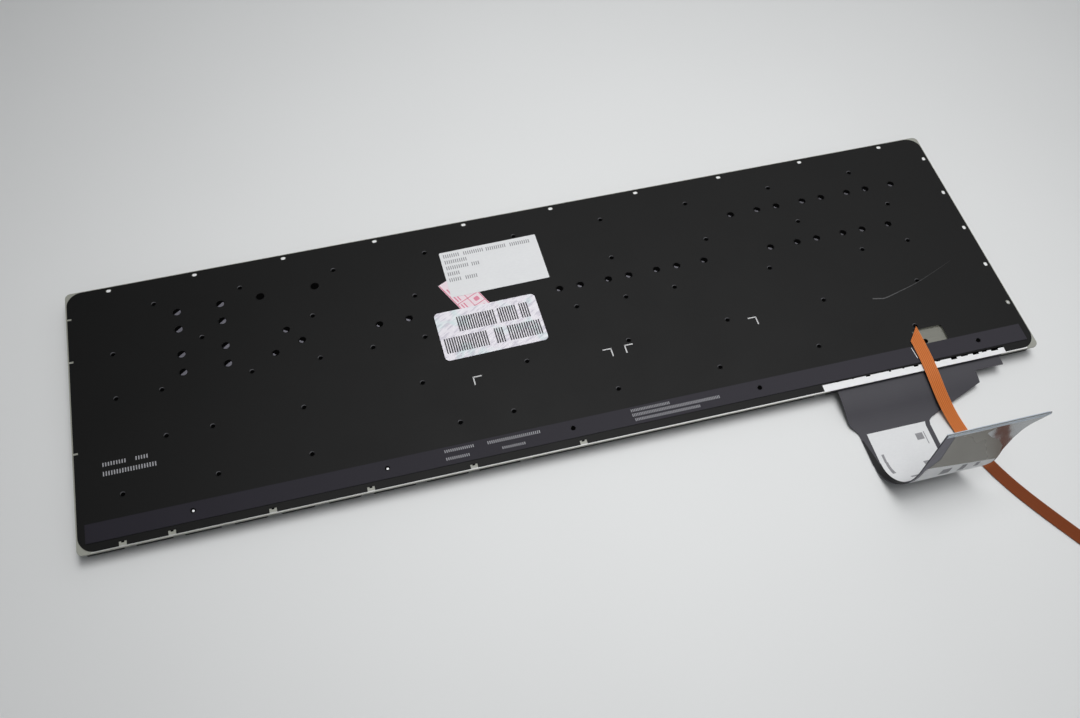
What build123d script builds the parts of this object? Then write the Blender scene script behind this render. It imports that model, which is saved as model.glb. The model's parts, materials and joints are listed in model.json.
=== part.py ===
"""Backlit laptop keyboard module, lying on its key tops with its back up.

Millimetres, +Z up. +X runs towards the tabulator side, -Y towards the space bar side.
The origin is at the middle of the foot of the whole module, its film tail included.
"""

import os
from math import atan, cos, degrees, radians, sin, tan

from build123d import *

# Key grid, which sets the board's outline
KEY_PITCH = 19.05
ROW_PITCH = 19.0
FUNCTION_ROW_D = 12.0
PAD_PITCH = 15.7
PAD_COLUMNS = 4
FUNCTION_KEYS = 16
NUMBER_KEYS = 12
PANEL_CORNER_R = 2.0

# Cell widths of the keys that differ from the pitch
GRAVE_W = 16.8
TAB_W = 26.3
CAPS_W = 31.06
SHIFT_W = 40.6
CONTROL_W = 26.6
SPACE_W = 109.15
BACKSPACE_W = 33.8

# Keycap
KEY_GAP = 3.4
CAP_H = 2.3
CAP_CORNER = 0.8
CAP_TAPER = 6.0
CAP_TOP = 0.9
CAP_WALL = 1.0

# Key mechanism
KEY_TRAVEL = 1.5
PRESS_GAP = 0.3
DOME_SIDES = 6
DOME_GAP = 0.2
DOME_TAPER = 20.0
LEVER_T = 0.6
LEVER_BAR = 0.9
LEVER_GAP = 0.2
LEVER_SIDE_GAP = 0.35
LEVER_END_GAP = 1.55
LEVER_SEAT_GAP = 0.1
STEM_W = 6.0
WIRE_D = 0.9
WIRE_SETBACK = 0.6
WIRE_LEG = 5.0

# Layers, from the keys to the back
MEMBRANE_T = 0.3
PLATE_T = 0.4
GUIDE_T = 0.7
SHEET_T = 0.2
LABEL_T = 0.08
MEMBRANE_INSET = 1.0
PLATE_INSET = 0.5

# Light shield sheet on the back
SHEET_CORNER_R = 5.5
SHEET_INSET_FRONT = 0.9
SHEET_INSET_FAR = 0.4
SHEET_INSET_PAD_SIDE = 0.5
SHEET_INSET_KEY_SIDE = 0.35
POST_R = 0.9
HOLE_SIDES = 6
HOOK_R = 1.1
HOLE_CLEARANCE = 0.2
HOOK_HALF_SPAN = 5.5
PAD_HOOK_HALF_SPAN = 3.9
BACKSPACE_HOLE_R = 1.6
BACKSPACE_HALF_SPAN = 10.1
BACKSPACE_HOLE_RISE = 3.8
PEEP_L = 2.0
PEEP_W = 1.5
PEEP_EDGE = 1.9
NOTCH_W = 0.9
SIDE_PEEPS = 5
SIDE_PEEP_PITCH = 18.6
CASTLE_W = 2.5
CASTLE_D = 1.4
CASTLES_FROM_PAD_SIDE = (14.6, 30.3, 63.0, 95.6, 130.8, 169.3)
SLASH_HOOKS = ((-3.0, -3.5), (2.0, 5.7), (7.0, -0.2))

# Light strip along the front edge
STRIP_END_GAP = 3.0
STRIP_W = 7.0
STRIP_T = 0.2
STRIP_FROM_FRONT = 7.0
STRIP_HOLE_SHIFT = 0.3
STRIP_POSTS_FROM_SIDE = (20.9, 106.1, 174.8, 239.8, 304.4)
LAMP_COUNT = 8
LAMP_PITCH = 42.0
LAMP_L = 3.0
LAMP_W = 1.0
LAMP_H = 0.7
LAMP_SHIFT = -1.9
LAMP_CLEARANCE = 0.3

# Opening for the light ribbon and the bare band at the front edge, from the tabulator side
WINDOW_FROM_SIDE = 37.0
WINDOW_L = 12.0
WINDOW_TOP = 17.3
BAND_FROM_SIDE = 48.5
BAND_L = 71.0
BAND_D = 3.1

# Film tail: its root from the tabulator side, and its cut edges from the root's left end
TAIL_FROM_SIDE = 79.0
FLANGE_W = 63.4
FLANGE_D = 3.5
FLANGE_STEP_W = 52.3
FLANGE_STEP_D = 8.0
NECK_LEFT = 2.3
NECK_RIGHT = 28.6
NECK_START_D = 16.5
TAIL_SLOPE_L = 19.0
TAIL_FLOOR_GAP = 0.2
TAIL_FLAT_D = 29.2
CURL_R = 13.3
CURL_ANGLE = 103.0
CURL_STRAIGHT = 16.0
TAIL_END_LEFT = 15.0
TAIL_END_RIGHT = 52.2
FLARE_START = 40.0
FLARE_START_H = 19.0
STIFFENER_L = 6.0
STIFFENER_T = 0.25
STIFFENER_PROUD = 1.5
STIFFENER_SIDE = 1.5
STIFFENER_SHIFT = -2.0
TAIL_LABEL_MARGIN = 2.2
TAIL_LABEL_ANGLE = 55.0

# Light ribbon
RIBBON_W = 4.8
RIBBON_T = 0.2
CONTACT_L = 8.0
CONTACT_T = 0.35
ARC_SHARE = 0.45

# Stickers on the back: size, centre and turn
PAPER_L = 38.8
PAPER_W = 22.0
PAPER_X = -14.3
PAPER_Y = 29.5
SEAL_L = 38.5
SEAL_W = 21.7
SEAL_X = -21.65
SEAL_Y = 2.15
SEAL_TURN = 1.0
SEAL_CORNER_R = 1.7
TAPE_L = 40.0
TAPE_W = 11.0
TAPE_X = -24.0
TAPE_Y = 12.5
TAPE_TURN = -62.0

# Levels of the layers above the foot
membrane_z = CAP_H + KEY_TRAVEL + PRESS_GAP
plate_z = membrane_z + MEMBRANE_T
guide_z = plate_z + PLATE_T
sheet_z = guide_z + GUIDE_T
back_z = sheet_z + SHEET_T

# Places along the board
main_w = GRAVE_W + NUMBER_KEYS * KEY_PITCH + BACKSPACE_W
board_w = main_w + PAD_COLUMNS * PAD_PITCH
board_d = 5 * ROW_PITCH + FUNCTION_ROW_D
front = -board_d / 2
key_start = board_w / 2
pad_start = key_start - main_w
function_pitch = main_w / FUNCTION_KEYS
strip_y = front + STRIP_FROM_FRONT
strip_l = board_w - 2 * STRIP_END_GAP

# Line of the film tail, which lies in front of the board and curls up
tail_left = key_start - TAIL_FROM_SIDE
tail_line_z = TAIL_FLOOR_GAP + MEMBRANE_T / 2
tail_reach = TAIL_FLAT_D + CURL_R + MEMBRANE_T / 2
end_angle = radians(CURL_ANGLE)
end_y = front - TAIL_FLAT_D - CURL_R * sin(end_angle) - CURL_STRAIGHT * cos(end_angle)
end_z = tail_line_z + CURL_R * (1 - cos(end_angle)) + CURL_STRAIGHT * sin(end_angle)
board_y = tail_reach / 2


def level(z):
    """A drawing plane over the middle of the board at height z."""
    return Plane(origin=(0, board_y, z))


def across(x):
    """A drawing plane that cuts the board front to back at x, with board Y to its right."""
    return Plane(origin=(x, board_y, 0), x_dir=(0, 1, 0), z_dir=(1, 0, 0))


def finish(part, label):
    """Name a piece and write its file."""
    part.label = label
    export_step(part, f"parts/{label}.step")


def row_y(row):
    """The gap line below a row; row 0 is the space bar's, row 5 the function keys'."""
    return front + row * ROW_PITCH


def letters(text):
    """One cell of standard width for each letter."""
    return [(f"key_{letter}", KEY_PITCH) for letter in text]


os.makedirs("parts", exist_ok=True)

# Key rows from the tabulator side, each cell with its node and width
pad_cell = ("numpad_keys", PAD_PITCH)
sign_cell = ("punctuation_keys", KEY_PITCH)
arrow_start_w = main_w - 2 * PAD_PITCH
right_modifier_w = (arrow_start_w - CONTROL_W - 3 * KEY_PITCH - SPACE_W) / 3
rows = [
    [("modifier_keys", CONTROL_W)]
    + 3 * [("modifier_keys", KEY_PITCH)]
    + [("space_bar", SPACE_W)]
    + 3 * [("modifier_keys", right_modifier_w)]
    + [("arrow_left_key", PAD_PITCH), ("arrow_down_key", PAD_PITCH), ("arrow_right_key", PAD_PITCH)]
    + 2 * [pad_cell],
    [("left_shift_key", SHIFT_W)]
    + letters("zxcvbnm")
    + 3 * [sign_cell]
    + [("right_shift_key", main_w - SHIFT_W - 10 * KEY_PITCH - PAD_PITCH), ("arrow_up_key", PAD_PITCH)]
    + 3 * [pad_cell],
    [("caps_lock_key", CAPS_W)]
    + letters("asdfghjkl")
    + 2 * [sign_cell]
    + [("enter_key", main_w - CAPS_W - 11 * KEY_PITCH)]
    + 3 * [pad_cell],
    [("tab_key", TAB_W)]
    + letters("qwertyuiop")
    + 2 * [sign_cell]
    + [("punctuation_keys", main_w - TAB_W - 12 * KEY_PITCH)]
    + 3 * [pad_cell],
    [("number_row_keys", GRAVE_W)]
    + NUMBER_KEYS * [("number_row_keys", KEY_PITCH)]
    + [("backspace_key", BACKSPACE_W)]
    + 4 * [pad_cell],
    FUNCTION_KEYS * [("function_row_keys", function_pitch)]
    + PAD_COLUMNS * [("function_row_keys", PAD_PITCH)],
]
row_depths = 5 * [ROW_PITCH] + [FUNCTION_ROW_D]

# Every cap's place and size, gathered by node
caps = {}
for row, cells in enumerate(rows):
    edge = key_start
    for node, width in cells:
        centre = (edge - width / 2, row_y(row) + row_depths[row] / 2)
        caps.setdefault(node, []).append((centre, width - KEY_GAP, row_depths[row] - KEY_GAP))
        edge -= width
last_pad_x = -key_start + PAD_PITCH / 2
for row in (1, 3):
    caps["numpad_keys"].append(((last_pad_x, row_y(row)), PAD_PITCH - KEY_GAP, 2 * ROW_PITCH - KEY_GAP))
fixed_groups = [
    "function_row_keys",
    "number_row_keys",
    "punctuation_keys",
    "modifier_keys",
    "numpad_keys",
]
moving_keys = [node for node in caps if node not in fixed_groups]


def keycap(centre, width, depth, fixed):
    """A drafted crown: hollow with cut corners where the key moves, on a stem where it is fixed."""
    x, y = centre
    with BuildPart() as cap:
        with BuildSketch(Plane(origin=(x, board_y + y, 0))) as crown:
            Rectangle(width, depth)
            if not fixed:
                chamfer(crown.vertices(), CAP_CORNER)
        extrude(amount=CAP_H)
        draft(cap.faces().filter_by(Axis.Z, reverse=True), Plane.XY.offset(CAP_H), -CAP_TAPER)
        if fixed:
            with BuildSketch(Plane(origin=(x, board_y + y, CAP_H))):
                Rectangle(STEM_W, STEM_W)
            extrude(amount=membrane_z - CAP_H)
        else:
            with BuildSketch(Plane(origin=(x, board_y + y, CAP_TOP))):
                Rectangle(width - 2 * CAP_WALL, depth - 2 * CAP_WALL)
            extrude(amount=CAP_H, mode=Mode.SUBTRACT)
    return cap.part


# Keycaps, one node for each moving key and one for each fixed group
for node, places in caps.items():
    with BuildPart() as keys:
        add([keycap(*place, node in fixed_groups) for place in places])
    finish(keys.part, node)

# The levers fit the smallest cap's pocket, and the dome fits within the inner lever
outer_lever_w = PAD_PITCH - KEY_GAP - 2 * (CAP_WALL + LEVER_SIDE_GAP)
inner_lever_w = outer_lever_w - 2 * (LEVER_BAR + LEVER_GAP)
dome_r = inner_lever_w / 2 - LEVER_BAR - DOME_GAP
lever_l = ROW_PITCH - KEY_GAP - 2 * (CAP_WALL + LEVER_END_GAP)

# Rubber domes: one under each moving cap, from the membrane to the cap's ceiling
moving_centres = [caps[node][0][0] for node in moving_keys]
with BuildPart() as dome:
    with BuildSketch(Plane.XY.offset(membrane_z)):
        RegularPolygon(dome_r, DOME_SIDES)
    extrude(amount=CAP_TOP - membrane_z)
    draft(dome.faces().filter_by(Axis.Z, reverse=True), Plane.XY.offset(membrane_z), -DOME_TAPER)
with BuildPart() as domes:
    with Locations(*[(x, board_y + y) for x, y in moving_centres]):
        add(dome.part)
finish(domes.part, "rubber_domes")

# Scissor levers: two crossed frames under each moving cap, the inner one within the outer one's arms
lever_mid_z = (membrane_z + CAP_TOP) / 2
lever_rise = (membrane_z - CAP_TOP) / 2 - LEVER_SEAT_GAP - LEVER_T / 2
lever_tilt = degrees(atan(2 * lever_rise / lever_l))
lever_flat = lever_l * cos(radians(lever_tilt))
for label, lever_w, lean in (
    ("scissor_outer_levers", outer_lever_w, 1),
    ("scissor_inner_levers", inner_lever_w, -1),
):
    lean_angle = radians(lean * lever_tilt)
    lever_planes = [
        Plane(
            origin=(x, board_y + y, lever_mid_z),
            x_dir=(1, 0, 0),
            z_dir=(0, -sin(lean_angle), cos(lean_angle)),
        )
        for x, y in moving_centres
    ]
    with BuildPart() as levers:
        with BuildSketch(*lever_planes):
            Rectangle(lever_w, lever_flat)
            with Locations((0, -LEVER_BAR)):
                Rectangle(lever_w - 2 * LEVER_BAR, lever_flat, mode=Mode.SUBTRACT)
        extrude(amount=LEVER_T / 2, both=True)
    finish(levers.part, label)

# Stabiliser wire clipped along the space bar's underside, its two legs bent towards the front
space_centre, space_cap_w, space_cap_d = caps["space_bar"][0]
wire_y = board_y + space_centre[1] + space_cap_d / 2 - CAP_WALL - WIRE_SETBACK
wire_half = space_cap_w / 2 - CAP_WALL - WIRE_SETBACK
with BuildPart() as wire:
    with BuildSketch(Plane(origin=(space_centre[0], wire_y, CAP_TOP))):
        Rectangle(2 * wire_half, WIRE_D)
        with GridLocations(2 * wire_half - WIRE_D, 1, 2, 1):
            with Locations((0, -WIRE_LEG / 2)):
                Rectangle(WIRE_D, WIRE_LEG)
    extrude(amount=WIRE_D)
finish(wire.part, "space_bar_wire")


# Post holes sit in the gaps between keys, on the gap lines of the rows
def main_gap(first_w, count):
    """The gap after a row's first cell and so many standard cells."""
    return key_start - first_w - count * KEY_PITCH


def pad_gap(count):
    """The gap after so many number pad columns, counted from the main block; -1 is before it."""
    return pad_start - count * PAD_PITCH


posts = [(key_start - count * function_pitch, row_y(5)) for count in range(2, FUNCTION_KEYS + 1, 2)]
posts += [(pad_gap(2), row_y(5))]
posts += [(main_gap(TAB_W, count), row_y(4)) for count in (0, 2, 4, 6, 10, 12)]
posts += [(pad_gap(count), row_y(4)) for count in (1, 3)]
posts += [(main_gap(TAB_W, count), row_y(3)) for count in (0, 1, 3, 5, 6, 7, 10, 11, 12)]
posts += [(pad_gap(count), row_y(3)) for count in (0, 2, 3)]
posts += [(main_gap(CAPS_W, count), row_y(2)) for count in range(0, 11, 2)]
posts += [(pad_gap(count), row_y(2)) for count in (-1, 1, 2)]
posts += [(main_gap(SHIFT_W, count), row_y(1)) for count in (0, 2, 4, 6, 8, 9)]
posts += [(pad_gap(count), row_y(1)) for count in (-1, 1, 3)]
strip_posts = [(key_start - reach, strip_y + STRIP_HOLE_SHIFT) for reach in STRIP_POSTS_FROM_SIDE]
posts += strip_posts
screw_posts = [(main_gap(TAB_W, count), row_y(row)) for count in (0, 10) for row in (3, 4)]
plain_posts = [post for post in posts if post not in screw_posts]

# Hook windows show the plate at both feet of some levers
hook_pairs = [centre for centre, _, _ in caps["number_row_keys"][1:5]]
hook_pairs += [caps[f"key_{letter}"][0][0] for letter in "qwetyuiop"]
hook_pairs += [caps["punctuation_keys"][-3][0]]
pad_hook_pairs = [(pad_gap(column), row_y(row)) for column in (0.5, 1.5) for row in (3.5, 4.5)]
hooks = [(x + side * HOOK_HALF_SPAN, y) for x, y in hook_pairs for side in (-1, 1)]
hooks += [(x, y + side * PAD_HOOK_HALF_SPAN) for x, y in pad_hook_pairs for side in (-1, 1)]
slash_x, slash_y = caps["punctuation_keys"][-1][0]
slash_hooks = [(slash_x + dx, slash_y + dy) for dx, dy in SLASH_HOOKS]
backspace_x, backspace_y = caps["backspace_key"][0][0]
backspace_holes = [
    (backspace_x + side * BACKSPACE_HALF_SPAN, backspace_y + BACKSPACE_HOLE_RISE) for side in (-1, 1)
]
first_lamp_x = -(LAMP_COUNT - 1) * LAMP_PITCH / 2
lamps = [(first_lamp_x + index * LAMP_PITCH, strip_y + LAMP_SHIFT) for index in range(LAMP_COUNT)]
lamp_slot_l = (LAMP_COUNT - 1) * LAMP_PITCH + LAMP_L + LAMP_CLEARANCE
window_foot = STRIP_FROM_FRONT + STRIP_W / 2
window_at = (key_start - WINDOW_FROM_SIDE, front + (WINDOW_TOP + window_foot) / 2)
window_size = (WINDOW_L, WINDOW_TOP - window_foot)

# Light shield sheet: the black back, pierced for posts, hooks, lamps and the ribbon
peep_xs = [key_start - count * function_pitch for count in range(1, FUNCTION_KEYS, 2)]
peep_xs += [pad_gap(count) for count in (1, 3)]
far_peeps = [(x, -front - PEEP_EDGE) for x in peep_xs]
side_peeps = [(key_start - PEEP_EDGE, row_y(5) - count * SIDE_PEEP_PITCH) for count in range(SIDE_PEEPS)]
pad_notches = [(-key_start, row_y(row)) for row in (5, 4, 2)]
castles = [(reach - key_start, front + SHEET_INSET_FRONT) for reach in CASTLES_FROM_PAD_SIDE]
sheet_size = (
    board_w - SHEET_INSET_PAD_SIDE - SHEET_INSET_KEY_SIDE,
    board_d - SHEET_INSET_FRONT - SHEET_INSET_FAR,
)
sheet_shift = (
    (SHEET_INSET_PAD_SIDE - SHEET_INSET_KEY_SIDE) / 2,
    (SHEET_INSET_FRONT - SHEET_INSET_FAR) / 2,
)
with BuildPart() as back_sheet:
    with BuildSketch(level(sheet_z)):
        with Locations(sheet_shift):
            RectangleRounded(*sheet_size, SHEET_CORNER_R)
        with Locations(*posts):
            RegularPolygon(POST_R, HOLE_SIDES, major_radius=False, mode=Mode.SUBTRACT)
        with Locations(*hooks, *slash_hooks):
            RegularPolygon(HOOK_R, HOLE_SIDES, major_radius=False, mode=Mode.SUBTRACT)
        with Locations(*backspace_holes):
            RegularPolygon(BACKSPACE_HOLE_R, HOLE_SIDES, major_radius=False, mode=Mode.SUBTRACT)
        with Locations((0, strip_y + LAMP_SHIFT)):
            Rectangle(lamp_slot_l, LAMP_W + LAMP_CLEARANCE, mode=Mode.SUBTRACT)
        with Locations(*far_peeps):
            Rectangle(PEEP_L, PEEP_W, mode=Mode.SUBTRACT)
        with Locations(*side_peeps):
            Rectangle(PEEP_W, PEEP_L, mode=Mode.SUBTRACT)
        with Locations(*pad_notches):
            Rectangle(2 * PEEP_L, NOTCH_W, mode=Mode.SUBTRACT)
        with Locations(*castles):
            Rectangle(CASTLE_W, 2 * CASTLE_D, mode=Mode.SUBTRACT)
        with Locations(window_at):
            Rectangle(*window_size, mode=Mode.SUBTRACT)
        with Locations((key_start - BAND_FROM_SIDE, front)):
            Rectangle(BAND_L, 2 * BAND_D, mode=Mode.SUBTRACT)
    extrude(amount=SHEET_T)
finish(back_sheet.part, "back_sheet")

# Light guide with its white reflector: larger clearance windows in the same places
post_window = 2 * (POST_R + HOLE_CLEARANCE)
hook_window = 2 * (HOOK_R + HOLE_CLEARANCE)
backspace_window = 2 * (BACKSPACE_HOLE_R + HOLE_CLEARANCE)
with BuildPart() as light_guide:
    with BuildSketch(level(guide_z)):
        RectangleRounded(board_w, board_d, PANEL_CORNER_R)
        with Locations(*posts):
            Rectangle(post_window, post_window, mode=Mode.SUBTRACT)
        with Locations(*hook_pairs):
            Rectangle(2 * HOOK_HALF_SPAN + hook_window, hook_window, mode=Mode.SUBTRACT)
        with Locations(*pad_hook_pairs):
            Rectangle(hook_window, 2 * PAD_HOOK_HALF_SPAN + hook_window, mode=Mode.SUBTRACT)
        with Locations(*slash_hooks):
            Rectangle(hook_window, hook_window, mode=Mode.SUBTRACT)
        with Locations(*backspace_holes):
            Rectangle(backspace_window, backspace_window, mode=Mode.SUBTRACT)
        with Locations((0, strip_y + LAMP_SHIFT)):
            Rectangle(lamp_slot_l, LAMP_W + LAMP_CLEARANCE, mode=Mode.SUBTRACT)
        with Locations(window_at):
            Rectangle(*window_size, mode=Mode.SUBTRACT)
    extrude(amount=GUIDE_T)
finish(light_guide.part, "light_guide")

# Base plate: thin metal that carries the levers, with four round holes for screws
with BuildPart() as base_plate:
    with BuildSketch(level(plate_z)) as plate_outline:
        Rectangle(board_w - 2 * PLATE_INSET, board_d - 2 * PLATE_INSET)
        chamfer(plate_outline.vertices(), PANEL_CORNER_R)
        with Locations(*plain_posts):
            Rectangle(2 * POST_R, 2 * POST_R, mode=Mode.SUBTRACT)
        with Locations(*screw_posts):
            Circle(POST_R, mode=Mode.SUBTRACT)
    extrude(amount=PLATE_T)
finish(base_plate.part, "base_plate")

# Light strip: a flat circuit along the front edge with its lamps below it
with BuildPart() as led_strip:
    with BuildSketch(level(back_z)):
        with Locations((0, strip_y)):
            Rectangle(strip_l, STRIP_W)
        with Locations(*strip_posts):
            RegularPolygon(POST_R, HOLE_SIDES, major_radius=False, mode=Mode.SUBTRACT)
    extrude(amount=STRIP_T)
    with BuildSketch(level(back_z)):
        with Locations(*lamps):
            Rectangle(LAMP_L, LAMP_W)
    extrude(amount=-LAMP_H)
finish(led_strip.part, "led_strip")


# Film tail: the cut outline, in plan on the way to the floor and from the front where it curls up
def tail_outline(margin):
    """The space within the tail's cut edges, drawn in by a margin."""
    curl_y = front - TAIL_FLAT_D
    end_h = end_z + MEMBRANE_T
    neck_left = tail_left + NECK_LEFT + margin
    neck_right = tail_left + NECK_RIGHT - margin
    step_right = tail_left + FLANGE_STEP_W - margin
    flange_right = tail_left + FLANGE_W - margin
    with BuildPart() as outline:
        with BuildSketch(level(0)):
            with BuildLine():
                Polyline(
                    (tail_left + margin, front + FLANGE_D),
                    (tail_left + margin, front - NECK_START_D + FLANGE_D),
                    (neck_left, front - NECK_START_D),
                    (neck_left, curl_y),
                    (neck_right, curl_y),
                    (neck_right, front - NECK_START_D),
                    (step_right, front - FLANGE_STEP_D),
                    (step_right, front - FLANGE_D),
                    (flange_right, front - FLANGE_D),
                    (flange_right, front + FLANGE_D),
                    close=True,
                )
            make_face()
        extrude(amount=plate_z)
        with BuildSketch(Plane(origin=(0, board_y + curl_y, 0), x_dir=(1, 0, 0), z_dir=(0, -1, 0))):
            with BuildLine():
                Polyline(
                    (neck_left, 0),
                    (tail_left + TAIL_END_LEFT + margin, end_h),
                    (tail_left + TAIL_END_RIGHT - margin, end_h),
                    (tail_left + FLARE_START - margin, FLARE_START_H),
                    (neck_right, 0),
                    close=True,
                )
            make_face()
        extrude(amount=2 * CURL_R)
    return outline.part


def tail_layer(outline, lift, thickness, start_d, angle, straight):
    """A film along the tail's line from start_d out, lifted towards the inside of the curl."""
    with BuildPart() as layer:
        with BuildSketch(across(tail_left)):
            with BuildLine():
                line_start = (front - start_d, tail_line_z + lift)
                floor_run = Line(line_start, (front - TAIL_FLAT_D, tail_line_z + lift))
                curl = JernArc(floor_run @ 1, floor_run % 1, CURL_R - lift, -angle)
                if straight:
                    PolarLine(curl @ 1, straight, direction=curl % 1)
            trace(line_width=thickness)
        extrude(amount=FLANGE_W)
        add(outline, mode=Mode.INTERSECT)
    return layer.part


# Membrane: the printed sheet over the plate and its tail, one film
film_mid_z = membrane_z + MEMBRANE_T / 2
slope_drop = film_mid_z - tail_line_z
slope_angle = 2 * degrees(atan(slope_drop / TAIL_SLOPE_L))
slope_r = TAIL_SLOPE_L / (2 * sin(radians(slope_angle)))
film_outline = tail_outline(0)
curled_film = tail_layer(film_outline, 0, MEMBRANE_T, TAIL_SLOPE_L, CURL_ANGLE, CURL_STRAIGHT)
with BuildPart() as slope_film:
    with BuildSketch(across(tail_left)):
        with BuildLine():
            sheet_run = Line((front + FLANGE_D, film_mid_z), (front, film_mid_z))
            bend_down = JernArc(sheet_run @ 1, sheet_run % 1, slope_r, slope_angle)
            JernArc(bend_down @ 1, bend_down % 1, slope_r, -slope_angle)
        trace(line_width=MEMBRANE_T)
    extrude(amount=FLANGE_W)
    add(film_outline, mode=Mode.INTERSECT)
with BuildPart() as membrane:
    with BuildSketch(level(membrane_z)) as film_sheet:
        Rectangle(board_w - 2 * MEMBRANE_INSET, board_d - 2 * MEMBRANE_INSET)
        chamfer(film_sheet.vertices(), PANEL_CORNER_R)
        with Locations(*posts):
            Rectangle(post_window, post_window, mode=Mode.SUBTRACT)
    extrude(amount=MEMBRANE_T)
    add(slope_film.part)
    add(curled_film)
finish(membrane.part, "membrane_circuit")

# Label on the tail's upper side, following it into the curl
label_lift = MEMBRANE_T / 2 + LABEL_T
tail_label = tail_layer(
    tail_outline(TAIL_LABEL_MARGIN), label_lift, LABEL_T, TAIL_SLOPE_L, TAIL_LABEL_ANGLE, 0
)
finish(tail_label, "tail_label")

# Stiffener behind the tail's contact end
tail_end_x = tail_left + (TAIL_END_LEFT + TAIL_END_RIGHT) / 2
tail_end_w = TAIL_END_RIGHT - TAIL_END_LEFT
end_plane = Plane(
    origin=(0, board_y + end_y, end_z),
    x_dir=(1, 0, 0),
    z_dir=(0, sin(end_angle), cos(end_angle)),
)
with BuildPart() as stiffener:
    with BuildSketch(end_plane.offset(MEMBRANE_T / 2)):
        with Locations((tail_end_x + STIFFENER_SHIFT, STIFFENER_L / 2 - STIFFENER_PROUD)):
            Rectangle(tail_end_w - 2 * STIFFENER_SIDE, STIFFENER_L)
    extrude(amount=STIFFENER_T)
finish(stiffener.part, "tail_stiffener")

# Light ribbon: a flat cord from the window, over the front edge and the tail, and away over the floor.
# Its points are measured from the tabulator side and the front edge.
ribbon_over = back_z + STRIP_T + RIBBON_T
ribbon_floor = TAIL_FLOOR_GAP + RIBBON_T / 2
ribbon_route = [
    (-43.0, 16.0, ribbon_over),
    (-42.9, 7.5, ribbon_over + 0.1),
    (-43.4, -1.5, ribbon_over),
    (-43.1, -10.0, 3.6),
    (-42.0, -18.0, 1.2),
    (-40.4, -27.0, ribbon_floor),
    (-37.4, -38.5, ribbon_floor + 0.05),
    (-32.8, -49.0, ribbon_floor),
    (-27.0, -59.5, ribbon_floor + 0.05),
    (-20.6, -70.0, ribbon_floor),
    (-15.5, -78.5, ribbon_floor + 0.05),
]
route = [Vector(key_start + x, board_y + front + y, z) for x, y, z in ribbon_route]
runs = [end - start for start, end in zip(route, route[1:])]
radii = []
for run_in, run_out in zip(runs, runs[1:]):
    shorter_run = min(run_in.length, run_out.length)
    radii.append(ARC_SHARE * shorter_run / tan(radians(run_in.get_angle(run_out) / 2)))
print("ribbon radii", [round(radius, 1) for radius in radii])
with BuildPart() as ribbon:
    with BuildLine() as ribbon_line:
        FilletPolyline(*route, radius=radii)
    with BuildSketch(Plane(origin=route[0], x_dir=(1, 0, 0), z_dir=runs[0])):
        Rectangle(RIBBON_W, RIBBON_T)
    sweep()
print("ribbon length", round(ribbon_line.wire().length, 1))
finish(ribbon.part, "backlight_ribbon")

# Stiffened contact end of the ribbon
with BuildPart() as contact_end:
    with BuildSketch(Plane(origin=route[-1], x_dir=runs[-1].cross(Vector(0, 0, 1)), z_dir=runs[-1])):
        Rectangle(RIBBON_W, CONTACT_T)
    extrude(amount=CONTACT_L)
finish(contact_end.part, "ribbon_contact_end")

# Stickers: the slanted strip first, the two plain rectangles over it
with BuildPart() as strip_label:
    with BuildSketch(level(back_z)):
        with Locations(Location((TAPE_X, TAPE_Y, 0), (0, 0, TAPE_TURN))):
            Rectangle(TAPE_L, TAPE_W)
    extrude(amount=LABEL_T)
finish(strip_label.part, "strip_label")
with BuildPart() as paper_label:
    with BuildSketch(level(back_z + LABEL_T)):
        with Locations((PAPER_X, PAPER_Y)):
            Rectangle(PAPER_L, PAPER_W)
    extrude(amount=LABEL_T)
finish(paper_label.part, "paper_label")
with BuildPart() as seal_label:
    with BuildSketch(level(back_z + LABEL_T)):
        with Locations(Location((SEAL_X, SEAL_Y, 0), (0, 0, SEAL_TURN))):
            RectangleRounded(SEAL_L, SEAL_W, SEAL_CORNER_R)
    extrude(amount=LABEL_T)
finish(seal_label.part, "seal_label")
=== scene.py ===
# %% [markdown]
# # A laptop keyboard, lying on its keys
#
# The object is a spare keyboard for a laptop. It lies face down, so what shows is its back: a black film
# that keeps the backlight in, a grey light strip along one edge, three stickers, a film tail that curls
# up and an amber ribbon. The CAD solids give every size. This script dresses them, and it starts by
# loading them.

# %% Load the solids
import json
import random
from math import cos, pi, radians, sin

import bmesh
import bpy
from mathutils import Matrix, Vector


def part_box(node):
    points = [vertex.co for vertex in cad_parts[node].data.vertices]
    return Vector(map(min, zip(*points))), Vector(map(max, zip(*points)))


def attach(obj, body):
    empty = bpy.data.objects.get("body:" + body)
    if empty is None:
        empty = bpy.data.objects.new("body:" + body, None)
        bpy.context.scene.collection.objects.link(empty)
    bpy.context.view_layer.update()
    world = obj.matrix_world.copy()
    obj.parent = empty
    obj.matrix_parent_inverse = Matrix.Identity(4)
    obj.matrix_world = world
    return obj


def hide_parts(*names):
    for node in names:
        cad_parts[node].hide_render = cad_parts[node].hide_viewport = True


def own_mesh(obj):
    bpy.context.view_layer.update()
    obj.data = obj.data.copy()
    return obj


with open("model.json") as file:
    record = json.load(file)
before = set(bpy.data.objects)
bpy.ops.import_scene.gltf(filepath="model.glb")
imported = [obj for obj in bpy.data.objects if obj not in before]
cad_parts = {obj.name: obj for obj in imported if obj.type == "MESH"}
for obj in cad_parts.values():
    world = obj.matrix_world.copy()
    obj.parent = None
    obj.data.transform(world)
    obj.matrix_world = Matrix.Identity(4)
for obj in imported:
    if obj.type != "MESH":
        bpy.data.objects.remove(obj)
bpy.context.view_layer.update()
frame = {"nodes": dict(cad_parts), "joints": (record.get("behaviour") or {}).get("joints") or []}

MM = 0.001
scene = bpy.context.scene

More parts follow.
